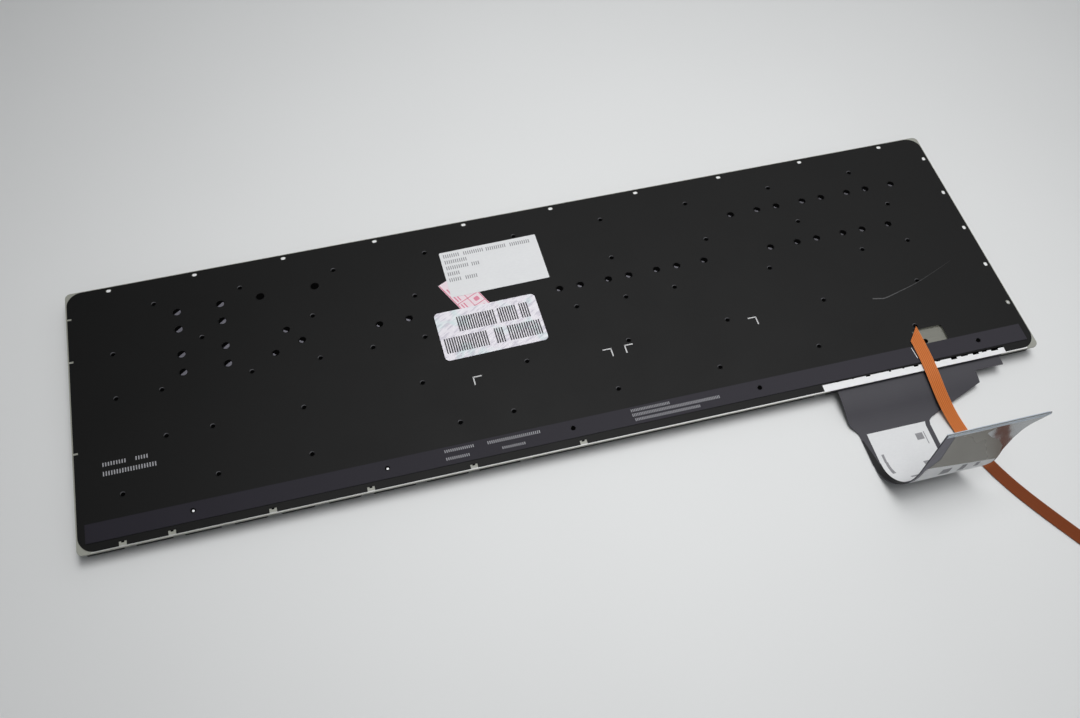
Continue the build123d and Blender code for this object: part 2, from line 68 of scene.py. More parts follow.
# %% [markdown]
# ## Where things are
#
# Places on the back are easiest to give in millimetres from the middle of the board, so one small
# function turns them into the frame's metres. The board's edges are read from the boxes of the solids,
# never typed.

# %% Places on the board
guide_low, guide_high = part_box("light_guide")
board_mid = (guide_low + guide_high) / 2
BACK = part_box("back_sheet")[1].z
KEY_SIDE = guide_high.x
FRONT = guide_low.y
film_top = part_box("base_plate")[0].z


def on_board(x, y, rise=0.0):
    """A point in millimetres from the board's middle, and above its back face."""
    return Vector((board_mid.x + x * MM, board_mid.y + y * MM, BACK + rise * MM))


print("board, mm:", [round(size / MM, 1) for size in guide_high - guide_low])

# %% [markdown]
# ## Camera
#
# The picture is taken from the front left, looking down. The lens comes from the width of the picture and
# its focal length, both in pixels, and the camera is turned by the directions that are right and up in
# the picture.

# %% Camera
PICTURE_WIDTH_PX = 1080
FOCAL_LENGTH_PX = 1158.0
VIEW_RIGHT = Vector((0.96772, -0.25126, 0.01985))
VIEW_UP = Vector((0.19984, 0.81289, 0.54707))
CAMERA_AT = (-71.6, -234.25, 348.0)

lens = bpy.data.cameras.new("picture_camera")
lens.lens = lens.sensor_width * FOCAL_LENGTH_PX / PICTURE_WIDTH_PX
lens.clip_start = 0.01
camera = bpy.data.objects.new("picture_camera", lens)
scene.collection.objects.link(camera)
view_axes = Matrix((VIEW_RIGHT, VIEW_UP, VIEW_RIGHT.cross(VIEW_UP))).transposed()
camera.matrix_world = Matrix.Translation(on_board(*CAMERA_AT)) @ view_axes.to_4x4()
scene.camera = camera
print("lens, mm:", round(lens.lens, 1))

# %% [markdown]
# ## Helpers for pieces
#
# Every piece is a mesh whose points are already in the frame, so its object stays at the origin. One
# function puts such a mesh into the scene, gives it its finish and ties it to the board. Thin printed
# shapes and stickers are flat outlines with a little thickness. A grid of points makes films and ribbons.

# %% Piece helpers
def add_piece(name, mesh, finish, body="board", smooth=False):
    """Put a finished mesh into the scene, riding on a body."""
    piece = bpy.data.objects.new(name, mesh)
    scene.collection.objects.link(piece)
    mesh.materials.clear()
    mesh.materials.append(finish)
    for face in mesh.polygons:
        face.use_smooth = smooth
    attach(piece, body)
    return piece


def mesh_from(name, points, faces):
    """A mesh with its normals turned outwards."""
    mesh = bpy.data.meshes.new(name)
    mesh.from_pydata(points, [], faces)
    shape = bmesh.new()
    shape.from_mesh(mesh)
    bmesh.ops.recalc_face_normals(shape, faces=shape.faces)
    shape.to_mesh(mesh)
    shape.free()
    return mesh


def ring_quads(start, pairs, sides):
    """The faces between pairs of rings of points, each ring with the same number of sides."""
    faces = []
    for first, second in pairs:
        for side in range(sides):
            after = (side + 1) % sides
            corners = ((first, side), (first, after), (second, after), (second, side))
            faces.append([start + ring * sides + turn for ring, turn in corners])
    return faces


def slabs(name, outlines, low, high):
    """Flat closed outlines, each made into a thin slab between two heights."""
    points = []
    faces = []
    for outline in outlines:
        start = len(points)
        count = len(outline)
        points += [(x, y, low) for x, y in outline]
        points += [(x, y, high) for x, y in outline]
        faces.append(list(range(start, start + count)))
        faces.append(list(range(start + count, start + 2 * count)))
        faces += ring_quads(start, [(0, 1)], count)
    return mesh_from(name, points, faces)


def lay(name, outlines, low, high, finish):
    """Put flat outlines into the scene as one thin piece."""
    return add_piece(name, slabs(name, outlines, low, high), finish)


def skin(name, upper, lower):
    """A closed film between two grids of points, row by row."""
    rows = len(upper)
    columns = len(upper[0])
    points = [point for grid in (upper, lower) for row in grid for point in row]
    sheet = rows * columns
    faces = []
    for row in range(rows - 1):
        for column in range(columns - 1):
            corner = row * columns + column
            quad = [corner, corner + 1, corner + columns + 1, corner + columns]
            faces.append(quad)
            faces.append([sheet + index for index in reversed(quad)])
    rim = [column for column in range(columns)]
    rim += [row * columns + columns - 1 for row in range(1, rows)]
    rim += [(rows - 1) * columns + column for column in reversed(range(columns - 1))]
    rim += [row * columns for row in reversed(range(1, rows - 1))]
    for first, second in zip(rim, rim[1:] + rim[:1]):
        faces.append([first, second, sheet + second, sheet + first])
    return mesh_from(name, points, faces)


def circle(centre, radius, sides=24):
    """Points of a round outline."""
    return [
        (centre[0] + radius * cos(2 * pi * side / sides), centre[1] + radius * sin(2 * pi * side / sides))
        for side in range(sides)
    ]


def panel(x, y, length, width, turn=0.0, corner=0.0, steps=6):
    """A rectangle on the back, in millimetres and degrees, with round corners if asked; metres come out."""
    outline = []
    for sign_x, sign_y, start in ((1, 1, 0), (-1, 1, 90), (-1, -1, 180), (1, -1, 270)):
        middle = (sign_x * (length / 2 - corner), sign_y * (width / 2 - corner))
        for step in range(steps + 1 if corner else 1):
            angle = radians(start + 90 * step / steps)
            outline.append((middle[0] + corner * cos(angle), middle[1] + corner * sin(angle)))
    spin = Matrix.Rotation(radians(turn), 2)
    return [tuple(on_board(*(Vector((x, y)) + spin @ Vector(point)))[:2]) for point in outline]


def joined(name, *meshes):
    """Several meshes as one."""
    shape = bmesh.new()
    for mesh in meshes:
        shape.from_mesh(mesh)
    whole = bpy.data.meshes.new(name)
    shape.to_mesh(whole)
    shape.free()
    return whole


print("piece helpers ready")

# %% [markdown]
# ## Shader maths
#
# A finish is a tree of nodes. Writing it node by node is hard to read, so a small class wraps a node's
# output and lets plus, minus and the rest add Math nodes. A second class holds the material, with one
# method that makes any node: its type, its settings and what goes into its sockets.

# %% Shader helpers
class Value:
    """A node's output that Python's operators work on."""

    def __init__(self, finish, socket):
        self.finish = finish
        self.socket = socket

    def math(self, operation, first, second=0.0):
        return self.finish.node("Math", {"operation": operation}, {0: first, 1: second})

    def __add__(self, other):
        return self.math("ADD", self, other)

    def __sub__(self, other):
        return self.math("SUBTRACT", self, other)

    def __rsub__(self, other):
        return self.math("SUBTRACT", other, self)

    def __mul__(self, other):
        return self.math("MULTIPLY", self, other)

    def __truediv__(self, other):
        return self.math("DIVIDE", self, other)

    def __abs__(self):
        return self.math("ABSOLUTE", self)

    def __gt__(self, other):
        return self.math("GREATER_THAN", self, other)

    def folded(self, reach):
        return self.math("PINGPONG", self, reach) * (1 / reach)

    def clipped(self):
        return self.finish.node("Clamp", {}, {0: self})

    __radd__ = __add__
    __rmul__ = __mul__


class Finish:
    """A material in the making: its shader, and a method that adds any node to its tree."""

    def __init__(self, name, constants):
        self.material = bpy.data.materials.new(name)
        self.material.use_nodes = True
        self.tree = self.material.node_tree
        self.shader = self.tree.nodes["Principled BSDF"]
        for socket, value in constants.items():
            self.shader.inputs[socket].default_value = value

    def node(self, kind, settings, inputs, output=0):
        made = self.tree.nodes.new("ShaderNode" + kind)
        for name, value in settings.items():
            if name == "stops":
                ramp = made.color_ramp.elements
                while len(ramp) < len(value):
                    ramp.new(0.5)
                for stop, (place, colour) in zip(ramp, value):
                    stop.position = place
                    stop.color = colour
            else:
                setattr(made, name, value)
        for key, value in inputs.items():
            self.put(made.inputs[key], value)
        return Value(self, made.outputs[output])

    def put(self, socket, value):
        if isinstance(value, Value):
            self.tree.links.new(value.socket, socket)
        else:
            socket.default_value = value

    def vary(self, socket, value):
        self.put(self.shader.inputs[socket], value)

    def place(self, stretch=(1.0, 1.0, 1.0)):
        here = self.node("TexCoord", {}, {}, 3)
        return self.node("Mapping", {}, {"Vector": here, "Scale": stretch})

    def along(self, axis):
        """The place along an axis of the frame, in millimetres."""
        return self.node("SeparateXYZ", {}, {0: self.place()}, axis) / MM

    def noise(self, size_mm, detail=2.0, stretch=(1.0, 1.0, 1.0)):
        inputs = {"Vector": self.place(stretch), "Scale": 1 / (size_mm * MM), "Detail": detail}
        return self.node("TexNoise", {}, inputs)

    def mix(self, share, first, second):
        return self.node("Mix", {"data_type": "RGBA"}, {0: share, 6: first, 7: second}, 2)

    def ramp(self, value, stops):
        return self.node("ValToRGB", {"stops": stops}, {0: value})

    def read(self, attribute):
        return self.node("Attribute", {"attribute_name": attribute}, {}, 2)

    def bump(self, height, depth_mm, strength=1.0):
        inputs = {"Strength": strength, "Distance": depth_mm * MM, "Height": height}
        self.vary("Normal", self.node("Bump", {}, inputs))


def tone(red, green, blue):
    """A colour as it looks on a screen, 0 to 255, as the linear colour that a shader takes."""
    shares = [channel / 255 for channel in (red, green, blue)]
    return (*[((share + 0.055) / 1.055) ** 2.4 if share > 0.04 else share / 12.92 for share in shares], 1.0)


print("shader helpers ready")

# %% [markdown]
# ## Black film
#
# The back is a thin black film with a soft sheen. It is never one flat black: a slow cloudiness lifts it
# a little, handling leaves duller patches, and a very fine grain breaks up the reflections.

# %% Black film finish
def black_film():
    finish = Finish("black_film", {"Specular IOR Level": 0.14})
    cloud = finish.noise(46.0, 3.0)
    grain = finish.noise(0.35, 2.0)
    finish.vary("Base Color", finish.mix(cloud, tone(11, 11, 11), tone(16, 16, 16)))
    handled = finish.noise(17.0, 4.0)
    finish.vary("Roughness", 0.40 + 0.10 * handled + 0.04 * grain)
    finish.bump(grain, 0.004, 0.5)
    return finish.material


BLACK_FILM = black_film()
print("made", BLACK_FILM.name)

# %% [markdown]
# ## The pierced back
#
# The solid of the black film has every hole in its place, but its round holes have few sides. The outline
# of each hole can be read from the solid's top face: an edge that belongs to one triangle only is on a
# border, and such edges chain into loops. Six-sided loops become true circles with a pressed lip, and
# small rectangles get round ends.

# %% Read the holes from the solid
def face_loops(node, height):
    """The border loops of a node's flat face at a height, the longest first."""
    mesh = frame["nodes"][node].data
    links = {}
    spots = {}
    edges = {}
    for face in mesh.polygons:
        corners = [mesh.vertices[index].co for index in face.vertices]
        if any(abs(corner.z - height) > 1e-6 for corner in corners):
            continue
        keys = [(round(corner.x * 1e7), round(corner.y * 1e7)) for corner in corners]
        for key, corner in zip(keys, corners):
            spots[key] = (corner.x, corner.y)
        for first, second in zip(keys, keys[1:] + keys[:1]):
            edge = frozenset((first, second))
            edges[edge] = edges.get(edge, 0) + 1
    for edge, count in edges.items():
        if count == 1:
            first, second = edge
            links.setdefault(first, []).append(second)
            links.setdefault(second, []).append(first)
    loops = []
    while links:
        start = min(links)
        loop = [start]
        following = links.pop(start)[0]
        while following != start:
            loop.append(following)
            options = links.pop(following)
            following = options[0] if options[0] != loop[-2] else options[1]
        loops.append([spots[key] for key in loop])
    return sorted(loops, key=len, reverse=True)


def middle(loop):
    """The mean of a loop's points."""
    return Vector((sum(x for x, _ in loop) / len(loop), sum(y for _, y in loop) / len(loop)))


def mm_place(loop):
    """The middle of a loop, in millimetres from the board's middle."""
    return (middle(loop) - board_mid.xy) / MM


def extent(loop):
    """A loop's size along X and Y."""
    across = [x for x, _ in loop]
    deep = [y for _, y in loop]
    return Vector((max(across) - min(across), max(deep) - min(deep)))


SEAL_AT = (-21.65, 2.1)
SEAL_SIZE = (38.3, 21.3)
SEAL_CLEAR = 2.2


def under_seal(loop):
    """Whether a hole lies under the foil seal or at its edge, where the film is whole."""
    apart = mm_place(loop) - Vector(SEAL_AT)
    return abs(apart.x) < SEAL_SIZE[0] / 2 + SEAL_CLEAR and abs(apart.y) < SEAL_SIZE[1] / 2 + SEAL_CLEAR


sheet_loops = face_loops("back_sheet", BACK)
round_holes = [loop for loop in sheet_loops if len(loop) == 6 and not under_seal(loop)]
square_holes = [loop for loop in sheet_loops if len(loop) == 4]
print("holes in the back:", len(round_holes), "round,", len(square_holes), "rectangular")

# %% Cut the black film
LIP = 0.3 * MM
LIP_DROP = 0.1 * MM
POST_HOLE = 1.0 * MM
HOOK_HOLE = 1.4 * MM
POST_SHARE = 0.85
WIDE_SHARE = 0.93
PAD_HOOK_SHARE = 1.28
FREE_HOOK_SHARE = 1.12
OVAL_REACH = 3.0 * MM
OVAL_CORNER = 0.74
SLOT_CORNER = 1.2
PAD_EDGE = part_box("numpad_keys")[1].x


def cut_sheet(name, loops, low, high):
    """A flat sheet with holes: a filled two-dimensional curve, turned into a mesh."""
    curve = bpy.data.curves.new(name, "CURVE")
    curve.dimensions = "2D"
    curve.fill_mode = "BOTH"
    curve.extrude = (high - low) / 2 / MM
    for loop in loops:
        spline = curve.splines.new("POLY")
        spline.points.add(len(loop) - 1)
        for point, (x, y) in zip(spline.points, loop):
            point.co = (x / MM, y / MM, 0, 1)
        spline.use_cyclic_u = True
    holder = bpy.data.objects.new(name, curve)
    mesh = bpy.data.meshes.new_from_object(holder)
    bpy.data.objects.remove(holder)
    mesh.transform(Matrix.Translation((0, 0, (low + high) / 2)) @ Matrix.Scale(MM, 4))
    return mesh


def rounded_slot(loop, corner):
    """A rectangle of the solid with round corners."""
    size = extent(loop) / MM
    at = mm_place(loop)
    return panel(at.x, at.y, size.x, size.y, 0.0, min(corner, size.x / 2 - 0.01, size.y / 2 - 0.01))


def inner_radius(loop):
    """The distance from the middle of a six-sided hole to its sides."""
    centre = middle(loop)
    return sum((Vector(point) - centre).length for point in loop) / len(loop) * cos(pi / 6)


def hole_radius(loop):
    """The radius of the round hole that a six-sided one stands for; the hooks' holes are a little wider."""
    within = inner_radius(loop)
    if within < POST_HOLE:
        return POST_SHARE * within
    if within > HOOK_HOLE:
        return WIDE_SHARE * within
    return within * (PAD_HOOK_SHARE if middle(loop).x < PAD_EDGE else FREE_HOOK_SHARE)


EDGE_GROWTH = 0.45 * MM
EDGE_FADE = 3.0 * MM


def nearer_edge(loop):
    """The outline with its near side moved towards the board's edge, where a thin pale line stays."""
    near = min(y for _, y in loop)
    return [(x, y - EDGE_GROWTH * max(0.0, 1 - (y - near) / EDGE_FADE)) for x, y in loop]


film_loops = [nearer_edge(sheet_loops[0])]
film_loops += [circle(middle(loop), hole_radius(loop) + LIP) for loop in round_holes]
for loop in square_holes:
    film_loops.append(rounded_slot(loop, SLOT_CORNER if extent(loop).y > OVAL_REACH else OVAL_CORNER))
sheet_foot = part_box("back_sheet")[0].z
black_mesh = cut_sheet("black_back", film_loops, sheet_foot, BACK)
black_back = add_piece("black_back", black_mesh, BLACK_FILM)
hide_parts("back_sheet")
print("black back:", len(black_back.data.polygons), "faces")

# %% Lips of the holes
LIP_SIDES = 24
FAR_LEFT = radians(105.0)
SHEET_DROP = sheet_foot - BACK
LIP_RINGS = (
    (LIP, 0.0, 0.0),
    (0.4 * LIP, -0.3 * LIP_DROP, 0.7),
    (0.0, -LIP_DROP, 1.0),
    (0.0, SHEET_DROP, 1.0),
    (LIP, SHEET_DROP, 0.0),
)


def lip_highlight():
    """Black film whose pressed edge has a painted highlight on the far side of each small hole."""
    finish = Finish("lip_highlight", {"Specular IOR Level": 0.14})
    rubbed = finish.read("rubbed") * (0.45 + 0.55 * finish.noise(0.5))
    finish.vary("Base Color", finish.mix(rubbed, tone(13, 13, 13), tone(128, 128, 132)))
    finish.vary("Roughness", 0.4 + 0.2 * rubbed)
    return finish.material


lip_pairs = [(ring, (ring + 1) % len(LIP_RINGS)) for ring in range(len(LIP_RINGS))]
lip_points = []
lip_faces = []
lip_rim_highlight = []
for loop in round_holes:
    start = len(lip_points)
    radius = hole_radius(loop)
    for wider, drop, share in LIP_RINGS:
        lip_points += [(x, y, BACK + drop) for x, y in circle(middle(loop), radius + wider, LIP_SIDES)]
        for side in range(LIP_SIDES):
            # Painted highlight: the lip of each small hole is pale on its far side, where it would catch the
            # light.
            far = max(0.0, cos(2 * pi * side / LIP_SIDES - FAR_LEFT))
            lip_rim_highlight.append(share * far if radius < POST_HOLE else 0.0)
    lip_faces += ring_quads(start, lip_pairs, LIP_SIDES)
lip_mesh = mesh_from("hole_lips", lip_points, lip_faces)
lip_mesh.attributes.new("rubbed", "FLOAT", "POINT").data.foreach_set("value", lip_rim_highlight)
add_piece("hole_lips", lip_mesh, lip_highlight(), smooth=True)
print("lips:", len(lip_mesh.polygons), "faces")

# %% [markdown]
# ## Amber ribbon
#
# The backlight's ribbon is a free flat cord. Its route repeats the solid's points: distance from the
# tabulator side, distance in front of the board's edge, and height over the floor. A spline through them
# gives a smooth line, and a flat band is drawn along it. It starts in a slanted fold and ends just
# outside the picture, in a contact end.

# %% Ribbon line
RIBBON_W = 4.8 * MM
RIBBON_T = 0.2 * MM
ROUTE = (
    (43.0, 16.0, 6.1), (42.9, 7.5, 6.2), (43.4, -1.5, 6.1), (43.1, -10.0, 3.6),
    (42.0, -18.0, 1.2), (40.4, -27.0, 0.3), (37.4, -38.5, 0.35), (32.8, -49.0, 0.3),
    (27.0, -59.5, 0.35), (20.6, -70.0, 0.3), (15.5, -78.5, 0.35),
)


def spline_points(name, points):
    """A smooth line near the points, as closely spaced points."""
    curve = bpy.data.curves.new(name, "CURVE")
    curve.dimensions = "3D"
    spline = curve.splines.new("NURBS")
    spline.points.add(len(points) - 1)
    for control, point in zip(spline.points, points):
        control.co = (*point, 1)
    spline.order_u = 3
    spline.use_endpoint_u = True
    spline.resolution_u = 12
    holder = bpy.data.objects.new(name, curve)
    line = bpy.data.meshes.new_from_object(holder)
    places = [vertex.co.copy() for vertex in line.vertices]
    bpy.data.objects.remove(holder)
    return places


ribbon_route = [(KEY_SIDE - x * MM, FRONT + y * MM, z * MM) for x, y, z in ROUTE]
ribbon_line = spline_points("ribbon_line", ribbon_route)
ribbon_length = sum((after - before).length for before, after in zip(ribbon_line, ribbon_line[1:]))
print("ribbon, mm:", round(ribbon_length / MM, 1))

# %% Ribbon finish
def amber_film():
    finish = Finish("amber_film", {"Specular IOR Level": 0.12})
    across = finish.read("across")
    along = finish.read("along")
    wave = (across * 7.0).folded(0.5)
    copper = (wave - 0.35) * 4.0
    border = (abs(across - 0.5) - 0.43) * 40.0
    fibre = finish.noise(0.8, 3.0)
    film = finish.mix(fibre, tone(204, 114, 52), tone(214, 128, 66))
    traced = finish.mix(copper.clipped() * 0.75, film, tone(172, 84, 32))
    trimmed = finish.mix(border.clipped() * 0.6, traced, tone(216, 130, 68))
    # Painted shade: the ribbon darkens to brown along its run on the floor, where the raised tail shades it
    # and it slants from the light.
    ribbon_shade = ((along - 0.44) * 8.0).clipped()
    finish.vary("Base Color", finish.mix(ribbon_shade * 0.86, trimmed, tone(96, 36, 0)))
    finish.vary("Roughness", 0.36 + 0.14 * fibre)
    finish.bump(wave, 0.012, 0.6)
    return finish.material


AMBER_FILM = amber_film()
print("made", AMBER_FILM.name)

# %% Ribbon band
RIBBON_COLUMNS = 9
RIBBON_ROWS = 150
FOLD_SLANT = 2.85 * MM
FOLD_SHIFT = 0.45 * MM
FOLD_REACH = 12.0 * MM


def walk(line, distance):
    """The place and direction at a distance along a line, straight on past its ends."""
    for before, after in zip(line, line[1:]):
        step = (after - before).length
        if distance <= step or after is line[-1]:
            heading = (after - before).normalized()
            return before + heading * distance, heading
        distance -= step
    return line[-1], heading


upper = []
lower = []
across_share = []
along_share = []
for row in range(RIBBON_ROWS + 1):
    upper_row = []
    lower_row = []
    reach = ribbon_length * row / RIBBON_ROWS
    for column in range(RIBBON_COLUMNS):
        side = 2 * column / (RIBBON_COLUMNS - 1) - 1
        skew = (FOLD_SHIFT - FOLD_SLANT * side) * max(0.0, 1 - reach / FOLD_REACH)
        place, heading = walk(ribbon_line, reach + skew)
        sideways = Vector((0, 0, 1)).cross(heading).normalized()
        rise = heading.cross(sideways)
        flat = place + sideways * side * RIBBON_W / 2
        upper_row.append(flat + rise * RIBBON_T / 2)
        lower_row.append(flat - rise * RIBBON_T / 2)
        across_share.append((side + 1) / 2)
        along_share.append(row / RIBBON_ROWS)
    upper.append(upper_row)
    lower.append(lower_row)

ribbon_mesh = skin("amber_ribbon", upper, lower)
for label, shares in (("across", across_share), ("along", along_share)):
    ribbon_mesh.attributes.new(label, "FLOAT", "POINT").data.foreach_set("value", shares + shares)
amber_ribbon = add_piece("amber_ribbon", ribbon_mesh, AMBER_FILM, smooth=False)
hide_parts("backlight_ribbon")
print("ribbon band:", len(ribbon_mesh.polygons), "faces")

# %% [markdown]
# ## Finishes of the layers
#
# Below the black film lie a milky light guide, a khaki steel plate and the printed film whose tail hangs
# out. Each finish is built the same way: a main colour with slow and fine variation, a roughness that
# follows, and a bump that stays small. Colours are written as they look on a screen.

# %% Layer finishes
def clouded(name, clouds, first, second, rough, bump=None, specular=0.5, metallic=0.0):
    """A finish of two colours in clouds, which are given by size, detail and stretch.

    The roughness is its least value and what the clouds add. The bump is a depth and a strength, and the
    size of a grain where it doesn't follow the clouds."""
    finish = Finish(name, {"Specular IOR Level": specular, "Metallic": metallic})
    cloud = finish.noise(*clouds)
    finish.vary("Base Color", finish.mix(cloud, first, second))
    finish.vary("Roughness", rough[0] + rough[1] * cloud)
    if bump:
        depth, strength, *grain = bump
        finish.bump(finish.noise(*grain) if grain else cloud, depth, strength)
    return finish.material


def pale_edge():
    finish = Finish("pale_edge", {"Specular IOR Level": 0.35})
    cloud = finish.noise(8.0, 3.0)
    # Painted shade: the pale line is darker towards the left end.
    along = ((finish.along(0) + 150.0) / 260.0).clipped()
    base = finish.mix(along, tone(160, 161, 158), tone(236, 236, 236))
    finish.vary("Base Color", finish.mix(cloud * 0.3, base, tone(232, 232, 232)))
    finish.vary("Roughness", 0.35 + 0.1 * cloud)
    return finish.material


def hook_steel():
    finish = Finish("hook_steel", {"Metallic": 0.15})
    worn = finish.noise(0.6, 3.0)
    # Painted shade: the steel darkens towards the right, where the hooks are seen more from the side.
    hook_shade = ((finish.along(0) + 40.0) / 160.0).clipped()
    steel = finish.mix(worn, tone(76, 75, 84), tone(112, 110, 120))
    finish.vary("Base Color", finish.mix(hook_shade * 0.75, steel, tone(50, 49, 55)))
    finish.vary("Roughness", 0.34 + 0.2 * worn)
    finish.bump(worn, 0.01, 0.5)
    return finish.material


def strip_lilac():
    finish = Finish("strip_lilac", {"Specular IOR Level": 0.14})
    cloud = finish.noise(24.0, 3.0)
    fine = finish.noise(0.5)
    along = finish.along(0)
    # Painted sheen: the strip is lighter towards the right, like the reflection on the black film there.
    strip_sheen = ((along + 60.0) / 260.0).clipped()
    base = finish.mix(cloud, tone(31, 29, 37), tone(38, 36, 44))
    finish.vary("Base Color", finish.mix(strip_sheen, base, tone(50, 48, 55)))
    finish.vary("Roughness", 0.42 + 0.08 * cloud + 0.04 * fine)
    finish.bump(fine, 0.004, 0.5)
    return finish.material


MILKY_GUIDE = clouded(
    "milky_guide", (9.0, 3.0), tone(140, 141, 132), tone(164, 165, 156),
    rough=(0.32, 0.12), bump=(0.006, 0.4, 0.5), specular=0.45,
)
WHITE_REFLECTOR = clouded(
    "white_reflector", (3.0, 3.0), tone(226, 227, 229), tone(240, 240, 241),
    rough=(0.42, 0.12), bump=(0.005, 0.4, 0.4), specular=0.4,
)
KHAKI_STEEL = clouded(
    "khaki_steel", (0.5, 3.0, (0.08, 1.0, 1.0)), tone(104, 104, 96), tone(122, 122, 113),
    rough=(0.40, 0.18), bump=(0.004, 0.5), metallic=0.2,
)
# Near-black, for painted shade in the holes and for the black film's teeth.
SHADE_AND_TEETH_BLACK = clouded(
    "shade_and_teeth_black", (0.3, 2.0), tone(2, 2, 2), tone(5, 5, 5), rough=(0.75, 0.15), specular=0.02,
)
GREY_FILM = clouded(
    "grey_film", (14.0, 3.0), tone(64, 63, 69), tone(73, 72, 77),
    rough=(0.50, 0.10), bump=(0.003, 0.5, 0.4), specular=0.22,
)
PALE_EDGE = pale_edge()
HOOK_STEEL = hook_steel()
STRIP_LILAC = strip_lilac()


def dress(finish, *nodes):
    """Give CAD nodes that stay in view their finish."""
    for node in nodes:
        frame["nodes"][node].data.materials.clear()
        frame["nodes"][node].data.materials.append(finish)


dress(MILKY_GUIDE, "light_guide")
dress(KHAKI_STEEL, "base_plate")
dress(STRIP_LILAC, "led_strip")
print("dressed: light guide, base plate, light strip")

# %% [markdown]
# ## Holes, hooks and the white edge
#
# In each round hole lies a black disc, painted shade for the dark seen through it. Under the wider ones
# stands a steel hook of the plate: on the number pad it fills the lower right of its hole, elsewhere only
# a corner of it glints at the lower left. A white reflector shows as a bright line along the near edge,
# as a broad band where the black film is cut back for the tail, and through small oval holes.

# %% Painted shade in the holes, and hooks
PIT_T = 0.015 * MM
HOOK_T = 0.05 * MM
PAD_HOOK = ((0.1, -0.14), 0.94, (-0.58, 0.81), 0.05)
BROAD_HOOK = ((-0.3, -0.36), 0.68, (0.55, 0.84), 0.05)
SMALL_HOOK = ((-0.45, -0.4), 0.5, (0.7, 0.7), 0.0)
PLATE_HOLE_AT = (131.7, -41.3)
guide_top = guide_high.z


def cut_disc(centre, radius, facing, cut):
    """A round outline with one side cut off straight, at a distance from its middle."""
    way = Vector(facing).normalized()
    outline = []
    for point in circle(centre, radius):
        beyond = (Vector(point) - Vector(centre)).dot(way) - cut
        outline.append(tuple(Vector(point) - way * max(0.0, beyond)))
    return outline


# Painted shade: a black disc inside each round hole.
hole_shades = [circle(middle(loop), hole_radius(loop) + 0.5 * LIP) for loop in round_holes]
lay("hole_shade_discs", hole_shades, guide_top, guide_top + PIT_T, SHADE_AND_TEETH_BLACK)

hook_loops = [loop for loop in round_holes if POST_HOLE < inner_radius(loop) < HOOK_HOLE]
hook_loops.sort(key=lambda loop: (round(middle(loop).y / MM), middle(loop).x))
hooks = []
for number, loop in enumerate(hook_loops):
    centre = middle(loop)
    radius = hole_radius(loop)
    free_hook = BROAD_HOOK if number % 2 else SMALL_HOOK
    shift, share, facing, cut = PAD_HOOK if centre.x < PAD_EDGE else free_hook
    hooks.append(cut_disc(centre + Vector(shift) * MM, share * radius, facing, cut * radius))
hook_foot = guide_top + PIT_T
lay("plate_hooks", hooks, hook_foot, hook_foot + HOOK_T, HOOK_STEEL)

plate_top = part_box("base_plate")[1].z
# Painted shade: a black disc where a hole in the plate shows in the window.
plate_hole_shade = circle(on_board(*PLATE_HOLE_AT).xy, 1.0 * MM)
lay("plate_hole", [plate_hole_shade], plate_top, plate_top + PIT_T, SHADE_AND_TEETH_BLACK)
print("pits:", len(hole_shades), "hooks:", len(hooks))

# %% White edge
REFLECTOR_T = 0.03 * MM
EDGE_W = 0.5
BAND_FROM_SIDE = 48.5
BAND_L = 71.0
BAND_D = 3.1
SPOT_SHARE = 0.74
DIM_SPOT_SHARE = 0.5
DIM_CORNER = (150.0, -20.0)
CASTLES = (-156.4, -140.7, -108.0, -75.4, -40.2, -1.7)
board_size = (guide_high - guide_low) / MM
front_mm = -board_size.y / 2
band_x = board_size.x / 2 - BAND_FROM_SIDE
edge_line = panel(0.0, front_mm + EDGE_W / 2 + 0.05, board_size.x - 9.0, EDGE_W)
edge_top = guide_top + REFLECTOR_T
lay("pale_edge", [edge_line], guide_top, edge_top, PALE_EDGE)

band_top = guide_top + 2 * REFLECTOR_T
band = panel(band_x, front_mm + BAND_D / 2 + 0.25, BAND_L, BAND_D + 0.4)
lay("white_band", [band], guide_top, band_top, WHITE_REFLECTOR)
# Painted shade: grey film over the board's front wall under the white band, for the dark line between band
# and tail.
shade_skirt = panel(band_x, front_mm - 0.02, BAND_L - 4.0, 0.06)
lay("band_shade_skirt", [shade_skirt], film_top, guide_top, GREY_FILM)

spots = []
for loop in square_holes:
    if extent(loop).x < OVAL_REACH:
        at = mm_place(loop)
        dim = at.x > DIM_CORNER[0] and at.y < DIM_CORNER[1]
        size = (DIM_SPOT_SHARE if dim else SPOT_SHARE) * extent(loop) / MM
        spots.append(panel(at.x, at.y, size.x, size.y, 0.0, 0.45))
lay("white_spots", spots, guide_top, edge_top, WHITE_REFLECTOR)
print("white spots:", len(spots))

